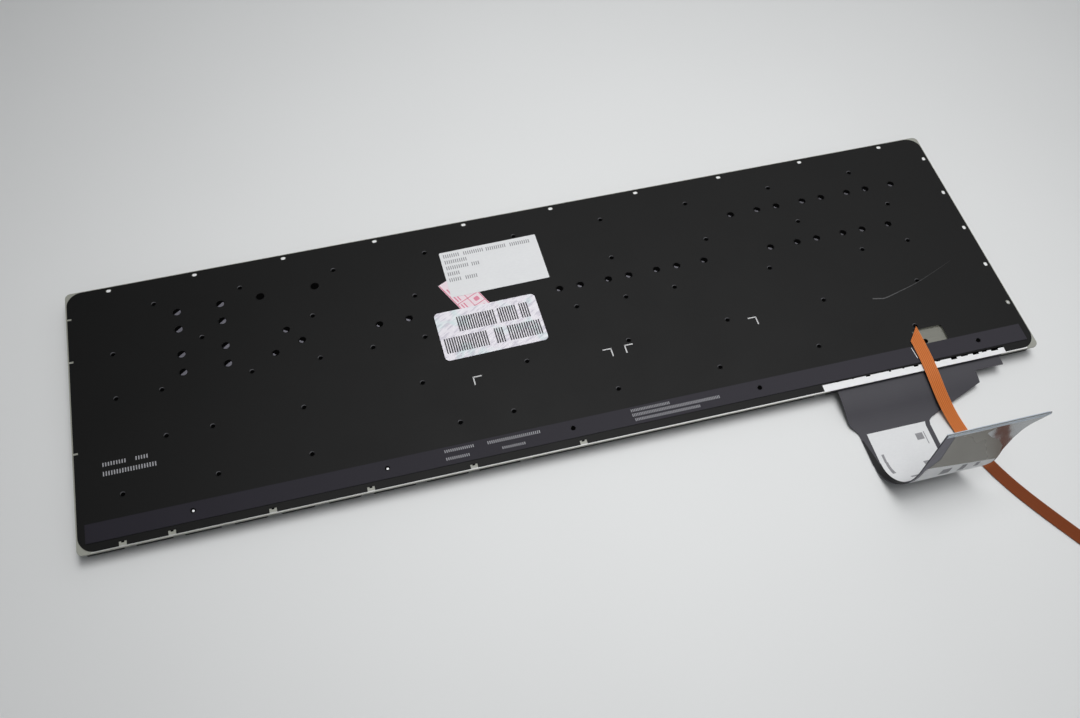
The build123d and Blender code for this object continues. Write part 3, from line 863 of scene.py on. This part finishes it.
# %% Teeth of the black film
WEDGE = (0.35, 1.1)
TORN_FROM = 0.72
TORN_TEETH = ((1.0, 3.0), (0.3, 1.0), (0.8, 2.2))
FINE_TEETH = ((0.6, 1.8), (0.25, 0.6), (3.0, 8.0))
ragged = random.Random(4)
teeth = [panel(x, front_mm + 1.95, 0.95, 0.8) for x in CASTLES]
band_left = band_x - BAND_L / 2
band_rim = front_mm + BAND_D + 0.45
wedge = ((0.0, 0.0), (BAND_L, 0.0), (BAND_L, -WEDGE[1]), (0.0, -WEDGE[0]))
teeth.append([tuple(on_board(band_left + x, band_rim + y)[:2]) for x, y in wedge])
tooth_x = 6.0
while tooth_x < BAND_L - 2.0:
    lengths, depths, gaps = TORN_TEETH if tooth_x > TORN_FROM * BAND_L else FINE_TEETH
    tooth_l = ragged.uniform(*lengths)
    tooth_d = ragged.uniform(*depths)
    wedge_d = WEDGE[0] + (WEDGE[1] - WEDGE[0]) * tooth_x / BAND_L
    teeth.append(panel(band_left + tooth_x, band_rim - wedge_d - tooth_d / 2 + 0.05, tooth_l, tooth_d))
    tooth_x += tooth_l + ragged.uniform(*gaps)
lay("film_teeth", teeth, band_top, band_top + PIT_T, SHADE_AND_TEETH_BLACK)
print("teeth:", len(teeth))

# %% Holes of the light strip
POST_END_SHIFT = Vector((0.1, -0.2)) * MM
BRIGHT_POSTS_END = PAD_EDGE + 60.0 * MM
strip_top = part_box("led_strip")[1].z
strip_shade_top = strip_top + PIT_T
slit = panel(124.9, -45.8, 0.22, 4.6, 4.0)
strip_holes = [loop for loop in face_loops("led_strip", strip_top) if len(loop) == 6]
# Painted shade: a black disc in each hole of the light strip.
strip_hole_shades = [circle(middle(loop), 0.8 * MM) for loop in strip_holes]
lay("strip_hole_shades", strip_hole_shades, strip_top, strip_shade_top, SHADE_AND_TEETH_BLACK)
bright_holes = [middle(loop) for loop in strip_holes if middle(loop).x < BRIGHT_POSTS_END]
post_ends = [circle(centre + POST_END_SHIFT, 0.45 * MM, 12) for centre in bright_holes]
bright = slabs("strip_slit", [slit], strip_top, strip_shade_top)
posts = slabs("post_ends", post_ends, strip_shade_top, strip_shade_top + PIT_T)
add_piece("strip_slit", joined("strip_slit", bright, posts), WHITE_REFLECTOR)
print("strip pits:", len(strip_hole_shades), "bright posts:", len(post_ends))

# %% [markdown]
# ## Film tail
#
# The printed film leaves the board at its front edge, slopes to the floor and curls up to its contact
# end. Its line is a gentle double bend, a flat run, an arc and a straight end. A film is laid along that
# line: at each step the cut edges say how far it reaches to the left and right. Label, contact field and
# printed band use the same line, lifted a little to one side.

# %% Line and edges of the tail
TAIL_FROM_SIDE = 79.0
SLOPE_L = 19.0
FLAT_L = 29.2
CURL_R = 13.3
CURL_ANGLE = 103.0
STRAIGHT_L = 16.0
FILM_T = 0.3
TAIL_LINE_Z = 0.35
SLOPE_TOP_Z = 4.25
TAIL_END_Z = 32.53
LEFT_EDGE = ((0.0, 0.0), (12.4, 0.0), (13.6, 0.4), (15.6, 1.8), (16.8, 2.25), (18.0, 2.3))
RIGHT_EDGE = (
    (0.0, 63.4), (3.48, 63.4), (3.52, 52.3), (8.0, 52.3), (14.8, 33.3),
    (15.7, 31.0), (16.4, 29.8), (17.3, 28.95), (18.8, 28.6),
)
LEFT_RISE = ((0.0, 2.3), (TAIL_END_Z, 15.0))
RIGHT_RISE = (
    (0.0, 28.6), (12.0, 36.3), (18.8, 38.0), (23.8, 40.6),
    (27.1, 43.3), (29.0, 46.0), (30.4, 49.4), (31.6, 52.2),
)
curl_l = CURL_R * radians(CURL_ANGLE)
tail_l = FLAT_L + curl_l + STRAIGHT_L
tail_left = KEY_SIDE / MM - TAIL_FROM_SIDE


def tail_line(run):
    """Distance in front of the board, height and turn of the tail after a run along it."""
    if run <= FLAT_L:
        share = min(1.0, run / SLOPE_L)
        drop = 2 * share ** 2 if share < 0.5 else 1 - 2 * (1 - share) ** 2
        return run, SLOPE_TOP_Z - drop * (SLOPE_TOP_Z - TAIL_LINE_Z), 0.0
    turn = min(run - FLAT_L, curl_l) / CURL_R
    beyond = max(0.0, run - FLAT_L - curl_l)
    ahead = FLAT_L + CURL_R * sin(turn) + beyond * cos(turn)
    return ahead, TAIL_LINE_Z + CURL_R * (1 - cos(turn)) + beyond * sin(turn), turn


def between(table, value):
    """A value read from a table of pairs, with straight lines between them."""
    for (low, first), (high, second) in zip(table, table[1:]):
        if value <= high:
            return first + (second - first) * max(0.0, value - low) / (high - low)
    return table[-1][1]


def tail_edges(run):
    """How far the tail reaches to the left and right, in millimetres from its left end at the board."""
    height = tail_line(run)[1]
    if run <= FLAT_L:
        return between(LEFT_EDGE, run), between(RIGHT_EDGE, run)
    return between(LEFT_RISE, height), between(RIGHT_RISE, height)


def reading(amount, run):
    """An amount that is a number or a table along the tail."""
    return between(amount, run) if isinstance(amount, tuple) else amount


def tail_film(name, start, stop, lift, thickness, trim=(0.0, 0.0), columns=16, width=0.0, slant=0.0):
    """A film along the tail's line from start to stop, lifted to the inside of the curl.

    It is trimmed at both sides; with a width it is a strip along the left side. Each of these is a number
    or a table along the line. With a slant its start is lower on the right."""
    runs = {start, stop} | {run for run, _ in LEFT_EDGE + RIGHT_EDGE if start < run < stop}
    runs |= {start + (stop - start) * step / 70 for step in range(71)}
    grids = []
    for offset in (lift + thickness / 2, lift - thickness / 2):
        grid = []
        for row_run in sorted(runs):
            row = []
            for column in range(columns + 1):
                share = column / columns
                run = row_run - slant * share * (stop - row_run) / (stop - start)
                ahead, height, turn = tail_line(run)
                left, right = tail_edges(run)
                left += reading(trim[0], run)
                right -= reading(trim[1], run)
                if width:
                    right = left + reading(width, run)
                x = tail_left + left + (right - left) * share
                y = FRONT / MM - ahead + offset * sin(turn)
                row.append(Vector((x, y, height + offset * cos(turn))) * MM)
            grid.append(row)
        grids.append(grid)
    return skin(name, *grids)


print("tail, mm:", round(tail_l, 1))

# %% Tail finishes
def contact_silver():
    finish = Finish("contact_silver", {"Metallic": 0.4})
    cloud = finish.noise(12.0, 2.0)
    fingers = finish.along(0).folded(0.25)
    finish.vary("Base Color", finish.mix(cloud, tone(128, 126, 120), tone(146, 144, 138)))
    finish.vary("Roughness", 0.24 + 0.06 * cloud)
    finish.bump(fingers, 0.006, 0.35)
    return finish.material


def paper(name, light, dark):
    finish = Finish(name, {"Specular IOR Level": 0.35})
    fibre = finish.noise(0.6, 4.0, (0.4, 1.0, 1.0))
    cloud = finish.noise(7.0, 2.0)
    finish.vary("Base Color", finish.mix(0.6 * fibre + 0.4 * cloud, light, dark))
    finish.vary("Roughness", 0.5 + 0.16 * fibre)
    finish.bump(fibre, 0.006, 0.5)
    return finish.material


def print_ink(name, colour, pale):
    return clouded(name, (0.35, 3.0), colour, pale, rough=(0.55, 0.15), specular=0.3)


CONTACT_SILVER = contact_silver()
FLARE_MIRROR = clouded(
    "flare_mirror", (7.0, 2.0), tone(166, 169, 171), tone(186, 188, 189),
    rough=(0.08, 0.06), bump=(0.3, 0.6, 10.0), metallic=0.8,
)
RIM_FILM = clouded(
    "rim_film", (5.0, 3.0), tone(94, 93, 102), tone(126, 125, 135),
    rough=(0.28, 0.1), bump=(0.003, 0.4, 0.5), specular=0.4,
)
BLUE_STIFFENER = clouded(
    "blue_stiffener", (6.0, 3.0), tone(184, 195, 206), tone(200, 209, 218),
    rough=(0.3, 0.15), bump=(0.005, 0.5, 0.5), specular=0.5,
)
# Black for a painted dark reflection along the left of the tail's inside.
MARGIN_DARK_REFLECTION = print_ink("margin_dark_reflection", tone(8, 8, 9), tone(14, 14, 15))
LABEL_PAPER = paper("label_paper", tone(229, 230, 231), tone(215, 216, 218))
GREY_INK = print_ink("grey_ink", tone(120, 120, 124), tone(160, 160, 163))
DARK_INK = print_ink("dark_ink", tone(36, 36, 38), tone(66, 66, 68))
WHITE_INK = print_ink("white_ink", tone(214, 214, 214), tone(186, 186, 187))
PALE_INK = print_ink("pale_ink", tone(170, 170, 174), tone(140, 140, 145))
print("tail finishes made")

# %% Film and label of the tail
membrane_loops = face_loops("membrane_circuit", film_top)
film_sheet = cut_sheet("film_sheet", membrane_loops, film_top - FILM_T * MM, film_top)
rolled_film = tail_film("rolled_film", 0.0, tail_l, 0.0, FILM_T)
printed_film = add_piece("printed_film", joined("printed_film", film_sheet, rolled_film), GREY_FILM)
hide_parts("membrane_circuit")


def at_turn(angle):
    """The run along the tail at which its curl has turned by an angle in degrees."""
    return FLAT_L + CURL_R * radians(angle)


LABEL_LIFT = FILM_T / 2 + 0.05
label_mesh = tail_film("tail_sticker", SLOPE_L - 1.8, at_turn(55.0), LABEL_LIFT, 0.08, (2.6, 1.8))
tail_sticker = add_piece("tail_sticker", label_mesh, LABEL_PAPER)
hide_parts("tail_label")
print("tail film and label made")

# %% Outside of the tail
OUTSIDE = -FILM_T / 2 - 0.02
COAT_T = 0.04
FIELD_SLANT = 3.0
field_start = FLAT_L + curl_l + 1.2
RIM_WIDTH = ((at_turn(40.0), 1.5), (field_start, 2.0), (field_start + 3.5, 4.4), (tail_l, 3.4))
FIELD_RIGHT = ((field_start, 0.4), (57.6, 1.9), (60.9, 5.7), (66.2, 17.0))
band_mesh = tail_film("printed_band", at_turn(50.0), field_start, OUTSIDE, COAT_T, (1.3, 0.5))
add_piece("printed_band", band_mesh, LABEL_PAPER)
flare_trim = (RIM_WIDTH, 0.15)
flare_mesh = tail_film(
    "flare", field_start, tail_l - 0.1, OUTSIDE - COAT_T, COAT_T, flare_trim, slant=FIELD_SLANT,
)
cap_mesh = tail_film("cap", tail_l - 0.08, tail_l + 0.03, 0.0, FILM_T + 0.05)
add_piece("tail_flare", joined("tail_flare", flare_mesh, cap_mesh), FLARE_MIRROR)
field_trim = (RIM_WIDTH, FIELD_RIGHT)
field_mesh = tail_film(
    "contact_field", field_start, tail_l - 1.5, OUTSIDE - 2 * COAT_T, COAT_T, field_trim, slant=FIELD_SLANT,
)
add_piece("contact_field", field_mesh, CONTACT_SILVER)
# The stiffener's own pale blue, carried onto the outside of the top end as a painted highlight of its lit
# top edge.
strip_mesh = tail_film("top_strip", tail_l - 1.1, tail_l - 0.02, OUTSIDE - 3 * COAT_T, COAT_T, (0.3, 0.4))
add_piece("top_strip", strip_mesh, BLUE_STIFFENER)
print("outside of the tail made")

# %% Stiffener, print and margins of the tail
STIFFENER_T = 0.25
STIFFENER_PROUD = 0.15
stiff_lift = FILM_T / 2 + STIFFENER_T / 2
stiff_stop = tail_l + STIFFENER_PROUD
stiff_mesh = tail_film("stiff_end", tail_l - 4.5, stiff_stop, stiff_lift, STIFFENER_T, (0.2, 0.6))
stiff_end = add_piece("stiff_end", stiff_mesh, BLUE_STIFFENER)
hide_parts("tail_stiffener")

TAIL_BARS = (
    (2.0, 4.6, 19.2, 4.4), (1.8, 6.8, 22.4, 3.6), (7.0, 15.5, 4.2, 21.2),
    (13.0, 15.0, 17.0, 5.0), (19.0, 20.0, 8.0, 13.0),
)
tail_bars = []
for start, stop, left, right in TAIL_BARS:
    lift = LABEL_LIFT + 0.05
    tail_bars.append(tail_film("bar", SLOPE_L + start, SLOPE_L + stop, lift, 0.02, (left, right), 4))
add_piece("tail_print", joined("tail_print", *tail_bars), GREY_INK)
rim_mesh = tail_film("rim", at_turn(40.0), tail_l - 0.1, OUTSIDE, COAT_T, (0.15, 0.0), 4, RIM_WIDTH)
add_piece("tail_rim", rim_mesh, RIM_FILM)
# Painted reflection: a black strip along the left of the tail's inside, where the glossy film mirrors
# something dark.
MARGIN_WIDTH = ((FLAT_L - 10.0, 0.3), (FLAT_L - 4.0, 1.5), (FLAT_L + 2.0, 2.5))
margin_mesh = tail_film(
    "tail_margin", FLAT_L - 10.0, at_turn(70.0), FILM_T / 2 + 0.02, 0.03, (0.1, 0.0), 4, MARGIN_WIDTH,
)
add_piece("tail_margin", margin_mesh, MARGIN_DARK_REFLECTION)
PATCHES = ((84.0, 97.0, 9.0, 16.5), (83.0, 98.0, 16.0, 11.0), (86.0, 96.0, 21.5, 6.0))
patches = []
for start, stop, left, right in PATCHES:
    patches.append(tail_film("patch", at_turn(start), at_turn(stop), OUTSIDE - 0.03, 0.02, (left, right), 4))
add_piece("band_print", joined("band_print", *patches), GREY_INK)
print("tail print:", len(tail_bars), "bars,", len(patches), "patches")

# %% [markdown]
# ## Stickers and print
#
# A white paper sticker, a foil seal and a slanted tape strip sit on the back. Their words and marks are
# left off: where print stood there are plain bars. The foil has a soft pastel shimmer, made from slanted
# waves.

# %% Sticker finishes
def foil():
    finish = Finish("foil", {"Specular IOR Level": 0.35})
    turned = finish.node("Mapping", {}, {"Vector": finish.place(), "Rotation": (0.0, 0.0, radians(-30.0))})
    slanted = finish.node("Mapping", {}, {"Vector": turned, "Scale": (0.24, 1.0, 1.0)})
    brushed = finish.node("TexNoise", {}, {"Vector": slanted, "Scale": 1 / (1.0 * MM), "Detail": 1.0})
    cloud = finish.noise(8.0, 2.0)
    stops = (
        (0.0, tone(226, 222, 230)), (0.6, tone(230, 226, 233)),
        (0.76, tone(208, 222, 224)), (0.92, tone(230, 226, 232)),
    )
    shimmer = finish.ramp((cloud * 1.7 - 0.35).clipped(), stops)
    dark_stroke = ((brushed - 0.52) * 9.0).clipped()
    pale_stroke = ((0.44 - brushed) * 9.0).clipped()
    stroked = finish.mix(dark_stroke * 0.6, shimmer, tone(188, 184, 198))
    finish.vary("Base Color", finish.mix(pale_stroke * 0.5, stroked, tone(238, 238, 242)))
    finish.vary("Roughness", 0.34 + 0.1 * cloud)
    finish.bump(brushed, 0.003, 0.4)
    return finish.material


FOIL = foil()
TAPE_PAPER = paper("tape_paper", tone(236, 222, 227), tone(228, 210, 217))
PINK_INK = print_ink("pink_ink", tone(214, 122, 146), tone(222, 148, 168))
print("sticker finishes made")

# %% Stickers
PRINT_T = 0.02 * MM
PAPER_AT = (-14.1, 29.35)
PAPER_SIZE = (37.9, 21.4)
PAPER_TURN = 0.9
SEAL_TURN = 1.0
TAPE_AT = Vector((-24.2, 10.8))
TAPE_SIZE = (35.8, 10.2)
TAPE_TURN = -64.3


def sticker(name, node, outline, finish):
    """A flat sticker in place of its solid."""
    low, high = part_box(node)
    piece = lay(name, [outline], low.z, high.z, finish)
    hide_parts(node)
    return piece


sticker("tape_strip", "strip_label", panel(*TAPE_AT, *TAPE_SIZE, TAPE_TURN, 0.2), TAPE_PAPER)
paper_outline = panel(*PAPER_AT, *PAPER_SIZE, PAPER_TURN, 0.4)
sticker("paper_sticker", "paper_label", paper_outline, LABEL_PAPER)
sticker("foil_seal", "seal_label", panel(*SEAL_AT, *SEAL_SIZE, SEAL_TURN, 1.7), FOIL)
print("stickers placed")


# %% Print on the stickers
def turned_axes(turn):
    """The directions along and across a thing that is turned by an angle in degrees."""
    along = Vector((cos(radians(turn)), sin(radians(turn))))
    return along, Vector((-along.y, along.x))


def strokes(start, reach, height, pitch, turn=0.0, share=0.45):
    """A run of plain upright bars that stands for a line of print, from its lower left corner."""
    way, rise = turned_axes(turn)
    count = int(reach / pitch)
    spots = [Vector(start) + way * pitch * (index + 0.5) + rise * height / 2 for index in range(count)]
    return [panel(*spot, pitch * share, height, turn) for spot in spots]


PAPER_LINES = (
    ((0.0, 6.8), (7.8, 8.0), (16.6, 8.6), (26.0, 8.4)),
    ((0.0, 9.2),),
    ((0.0, 9.0), (9.8, 3.8)),
    ((0.0, 5.0),),
    ((0.0, 5.2), (6.2, 5.6)),
)
LINE_PITCH = 2.85
paper_corner = (PAPER_AT[0] - PAPER_SIZE[0] / 2 + 1.0, PAPER_AT[1] + PAPER_SIZE[1] / 2 - 3.2)
paper_bars = []
for row, words in enumerate(PAPER_LINES):
    for offset, reach in words:
        corner = (paper_corner[0] + offset, paper_corner[1] - LINE_PITCH * row)
        paper_bars += strokes(corner, reach, 1.7, 0.8, PAPER_TURN)
paper_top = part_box("paper_label")[1].z
lay("paper_print", paper_bars, paper_top, paper_top + PRINT_T, GREY_INK)

SEAL_LINES = (
    ((-11.6, 0.6), 14.4), ((3.8, 0.9), 7.2), ((12.0, 1.1), 3.6),
    ((-18.0, -8.0), 17.0), ((0.6, -7.7), 3.6), ((5.6, -7.6), 12.6),
)
seal_bars = []
for (x, y), reach in SEAL_LINES:
    seal_bars += strokes((SEAL_AT[0] + x, SEAL_AT[1] + y), reach, 6.6, 0.9, SEAL_TURN, 0.54)
seal_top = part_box("seal_label")[1].z
lay("seal_print", seal_bars, seal_top, seal_top + PRINT_T, DARK_INK)
print("print bars:", len(paper_bars), "on the paper,", len(seal_bars), "on the foil")

# %% Print on the tape
TAPE_PITCH = 4.4
TAPE_BLOCKS = (
    (0.0, 2.5, 1.9, 2.0, 0.5),
    (0.0, -2.5, 2.9, 0.5, 0.0),
    (0.0, -3.6, 2.9, 0.5, 0.0),
    (TAPE_PITCH / 2, 0.0, 0.35, TAPE_SIZE[1] - 1.0, 0.0),
)
tape_way, tape_side = turned_axes(TAPE_TURN)
tape_rim = TAPE_SIZE[1] / 2 - 0.3
rims = [TAPE_AT + tape_side * side * tape_rim for side in (-1, 1)]
blocks = [panel(*rim, TAPE_SIZE[0] - 0.6, 0.4, TAPE_TURN) for rim in rims]
blocks.append(panel(*TAPE_AT, TAPE_SIZE[0] - 1.0, 0.3, TAPE_TURN))
for step in range(-3, 4):
    for ahead, aside, length, width, corner in TAPE_BLOCKS:
        spot = TAPE_AT + tape_way * (TAPE_PITCH * step + ahead) + tape_side * aside
        blocks.append(panel(*spot, length, width, TAPE_TURN, corner))
tape_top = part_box("strip_label")[1].z
lay("tape_print", blocks, tape_top, tape_top + PRINT_T, PINK_INK)
print("tape blocks:", len(blocks))

# %% Marks on the black film
MARK_L = 3.3
MARK_W = 0.45
CORNER_MARKS = ((-32.9, -17.6, 1), (18.5, -17.5, -1), (23.3, -17.4, 1), (74.5, -16.8, -1))
marks = []
for x, y, way in CORNER_MARKS:
    marks.append(panel(x + way * MARK_L / 2, y, MARK_L, MARK_W))
    marks.append(panel(x + way * MARK_W / 2, y - MARK_L / 2, MARK_W, MARK_L))
lay("corner_marks", marks, BACK, BACK + PRINT_T, WHITE_INK)

FILM_LINES = (
    ((-161.5, -22.6), 8.4, 1.5, 0.9), ((-150.6, -22.6), 4.6, 1.5, 0.9), ((-161.5, -26.3), 18.2, 1.7, 0.9),
)
STRIP_LINES = (
    ((-49.0, -45.2), 11.0, 1.1, 0.7), ((-49.0, -48.2), 8.5, 1.1, 0.7),
    ((-34.0, -45.4), 19.5, 1.2, 0.7), ((-29.5, -48.4), 8.6, 1.0, 0.7),
    ((17.5, -45.0), 14.5, 1.1, 0.6), ((17.5, -46.9), 32.5, 1.2, 0.6), ((18.0, -48.8), 24.0, 1.1, 0.6),
)
film_bars = [bar for line in FILM_LINES for bar in strokes(*line)]
strip_bars = [bar for line in STRIP_LINES for bar in strokes(*line)]
lay("film_print", film_bars, BACK, BACK + PRINT_T, PALE_INK)
lay("strip_print", strip_bars, strip_top, strip_top + PRINT_T, PALE_INK)
print("marks:", len(marks), "print bars:", len(film_bars) + len(strip_bars))

# %% Scratch
SCRATCH = (
    (120.0, -19.4), (122.6, -19.9), (124.4, -20.4), (131.5, -18.6),
    (139.0, -16.6), (146.0, -14.0), (156.6, -9.6),
)
SCRATCH_W = 0.5


def bared_film():
    """Film worn pale along a scratch, fading towards the tabulator side."""
    finish = Finish("bared_film", {"Specular IOR Level": 0.2})
    fading = ((finish.along(0) - 122.0) / 40.0).clipped()
    broken = finish.noise(0.7, 3.0)
    pale = finish.mix(broken, tone(98, 98, 99), tone(70, 70, 71))
    finish.vary("Base Color", finish.mix(fading, pale, tone(32, 32, 32)))
    finish.vary("Roughness", 0.5 + 0.2 * broken)
    return finish.material


scratch_line = spline_points("scratch_line", [on_board(*point) for point in SCRATCH])
scratch_rows = []
for index, place in enumerate(scratch_line):
    share = index / (len(scratch_line) - 1)
    way = scratch_line[min(index + 1, len(scratch_line) - 1)] - scratch_line[max(index - 1, 0)]
    side = Vector((-way.y, way.x, 0)).normalized() * SCRATCH_W * MM * (1 - 0.75 * share) / 2
    scratch_rows.append([place - side, place + side])
raised = [[point + Vector((0, 0, PRINT_T / 2)) for point in row] for row in scratch_rows]
add_piece("scratch", skin("scratch", raised, scratch_rows), bared_film())
print("scratch:", len(scratch_line), "points")

# %% [markdown]
# ## Keys, domes and levers
#
# The keys are under the board. Their caps keep the CAD shapes, with softened edges and a finely grained
# plastic. Each key that moves gets its own dome and pair of crossed levers, each with a mesh of its own.

# %% Key finishes
def cap_plastic():
    finish = Finish("cap_plastic", {"Specular IOR Level": 0.45})
    cloud = finish.noise(11.0, 2.0)
    grain = finish.noise(0.16, 2.0)
    finish.vary("Base Color", finish.mix(cloud, tone(30, 30, 31), tone(38, 38, 39)))
    finish.vary("Roughness", 0.5 + 0.12 * grain)
    finish.bump(grain, 0.02, 0.5)
    return finish.material


def gold_contacts():
    finish = Finish("gold_contacts", {"Metallic": 0.6})
    fingers = (finish.along(0) * 1.1).folded(0.5)
    worn = finish.noise(0.6)
    finish.vary("Base Color", finish.mix(fingers > 0.55, tone(150, 82, 36), tone(214, 176, 96)))
    finish.vary("Roughness", 0.3 + 0.14 * worn)
    finish.bump(fingers, 0.01, 0.5)
    return finish.material


CAP_PLASTIC = cap_plastic()
SOFT_RUBBER = clouded(
    "soft_rubber", (2.0, 2.0), tone(196, 200, 200), tone(214, 216, 214),
    rough=(0.5, 0.15), bump=(0.01, 0.4), specular=0.4,
)
LEVER_PLASTIC = clouded(
    "lever_plastic", (1.5, 2.0), tone(222, 222, 218), tone(234, 233, 228),
    rough=(0.38, 0.12), bump=(0.006, 0.4), specular=0.5,
)
DRAWN_WIRE = clouded(
    "drawn_wire", (0.4, 3.0, (0.05, 1.0, 1.0)), tone(176, 176, 178), tone(206, 206, 208),
    rough=(0.26, 0.14), metallic=1.0,
)
dress(DRAWN_WIRE, "space_bar_wire")
dress(gold_contacts(), "ribbon_contact_end")
moving_keys = sorted(joint["name"].removesuffix("_press") for joint in frame["joints"])
key_groups = ["function_row_keys", "number_row_keys", "punctuation_keys", "modifier_keys", "numpad_keys"]
dress(CAP_PLASTIC, *moving_keys, *key_groups)
for node in moving_keys + key_groups:
    welded = frame["nodes"][node].modifiers.new("weld", "WELD")
    welded.merge_threshold = 0.002 * MM
    softened = frame["nodes"][node].modifiers.new("soft_edges", "BEVEL")
    softened.width = 0.18 * MM
    softened.segments = 2
    softened.limit_method = "ANGLE"
print("keys dressed:", len(moving_keys), "single,", len(key_groups), "groups")

# %% Domes and levers
DOME_PROFILE = ((1.0, 0.0), (1.0, 0.1), (0.88, 0.2), (0.7, 0.7), (0.62, 0.84), (0.5, 0.92), (0.48, 1.0))


def share_of(node, key):
    """The points and faces of a shared node that lie over one key."""
    low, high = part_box(key)
    mesh = frame["nodes"][node].data
    numbers = {}
    points = []
    faces = []
    for face in mesh.polygons:
        if not (low.x < face.center.x < high.x and low.y < face.center.y < high.y):
            continue
        corners = []
        for index in face.vertices:
            spot = tuple(round(value * 1e7) for value in mesh.vertices[index].co)
            if spot not in numbers:
                numbers[spot] = len(points)
                points.append(mesh.vertices[index].co.copy())
            corners.append(numbers[spot])
        faces.append(corners)
    return points, faces


def dome_mesh(name, points):
    """A round rubber dome in the room of its solid: a profile turned about its axis."""
    low = Vector([min(point[axis] for point in points) for axis in range(3)])
    high = Vector([max(point[axis] for point in points) for axis in range(3)])
    centre = (low + high) / 2
    foot_r = min(high.x - low.x, high.y - low.y) / 2
    sides = 24
    rings = []
    for share, drop in DOME_PROFILE:
        height = high.z - drop * (high.z - low.z)
        rings += [(x, y, height) for x, y in circle(centre, foot_r * share, sides)]
    faces = [list(range(sides)), list(range(len(rings) - sides, len(rings)))]
    faces += ring_quads(0, [(ring, ring + 1) for ring in range(len(DOME_PROFILE) - 1)], sides)
    return mesh_from(name, rings, faces)


LEVER_NODES = ("scissor_outer_levers", "scissor_inner_levers")
for key in moving_keys:
    dome_points = share_of("rubber_domes", key)[0]
    dome = add_piece("dome_" + key, dome_mesh("dome_" + key, dome_points), SOFT_RUBBER)
    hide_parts("rubber_domes")
    arms = [mesh_from("arm_" + key, *share_of(node, key)) for node in LEVER_NODES]
    levers = add_piece("levers_" + key, joined("levers_" + key, *arms), LEVER_PLASTIC)
    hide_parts("scissor_outer_levers", "scissor_inner_levers")
    for soft in (dome, levers):
        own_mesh(soft)

# %% [markdown]
# ## Light and floor
#
# A broad soft lamp from behind gives the shadow along the near edge and under the tail, and a weaker one
# in front keeps that shadow soft. One big area lamp could do both, but two spots also give the floor its
# soft pool of light. The room around is pale at the back right, dim in front and dark at the back left,
# which is what the black film mirrors. The floor is a pale sheet.

# %% Lamps
def soft_spot(name, place, aim, radius, cone, power):
    """A soft lamp at a place that lights a pool about a point; places in metres, cone in degrees."""
    lamp = bpy.data.lights.new(name, "SPOT")
    lamp.shadow_soft_size = radius
    lamp.spot_size = radians(cone)
    lamp.spot_blend = 1.0
    lamp.energy = power
    holder = bpy.data.objects.new(name, lamp)
    scene.collection.objects.link(holder)
    toward = Vector(aim) - Vector(place)
    holder.matrix_world = Matrix.Translation(place) @ toward.to_track_quat("-Z", "Y").to_matrix().to_4x4()
    return holder


back_lamp = soft_spot(
    "back_lamp", place=(0.16, 0.2, 0.75), aim=(0.045, 0.025, 0.0), radius=0.36, cone=50.0, power=29.0,
)
front_lamp = soft_spot(
    "front_lamp", place=(0.06, -0.16, 0.8), aim=(0.03, -0.02, 0.0), radius=0.3, cone=42.0, power=11.5,
)
print("lamps:", back_lamp.name, front_lamp.name)


# %% Room
class Room(Finish):
    """The light from all around, made with the same methods as a finish."""

    def __init__(self, name):
        self.world = bpy.data.worlds.new(name)
        self.world.use_nodes = True
        self.tree = self.world.node_tree
        self.shader = self.tree.nodes["Background"]


def pale_room():
    """A room that is pale at the back right, dim in front and dark at the back left."""
    room = Room("pale_room")
    direction = room.node("TexCoord", {}, {}, 0)
    right = ((room.node("SeparateXYZ", {}, {0: direction}, 0) + 0.4) / 0.9).clipped()
    front = ((0.15 - room.node("SeparateXYZ", {}, {0: direction}, 1)) / 0.8).clipped()
    behind = room.mix(right, (0.09, 0.095, 0.095, 1.0), (0.52, 0.525, 0.53, 1.0))
    room.vary("Color", room.mix(front, behind, (0.21, 0.215, 0.22, 1.0)))
    return room.world


scene.world = pale_room()
scene.view_settings.view_transform = "Standard"
print("room:", scene.world.name)

# %% Floor
FLOOR_SHEET = clouded(
    "floor_sheet", (120.0, 2.0), tone(224, 225, 225), tone(230, 231, 231), rough=(0.6, 0.1), specular=0.25,
)
FLOOR_HALF = 3.0
floor_points = [(x, y, 0.0) for x, y in ((-1, -1), (1, -1), (1, 1), (-1, 1))]
floor_mesh = bpy.data.meshes.new("floor")
floor_mesh.from_pydata([Vector(point) * FLOOR_HALF for point in floor_points], [], [(0, 1, 2, 3)])
floor_mesh.materials.append(FLOOR_SHEET)
floor = bpy.data.objects.new("floor", floor_mesh)
scene.collection.objects.link(floor)
print("floor:", 2 * FLOOR_HALF, "m wide")
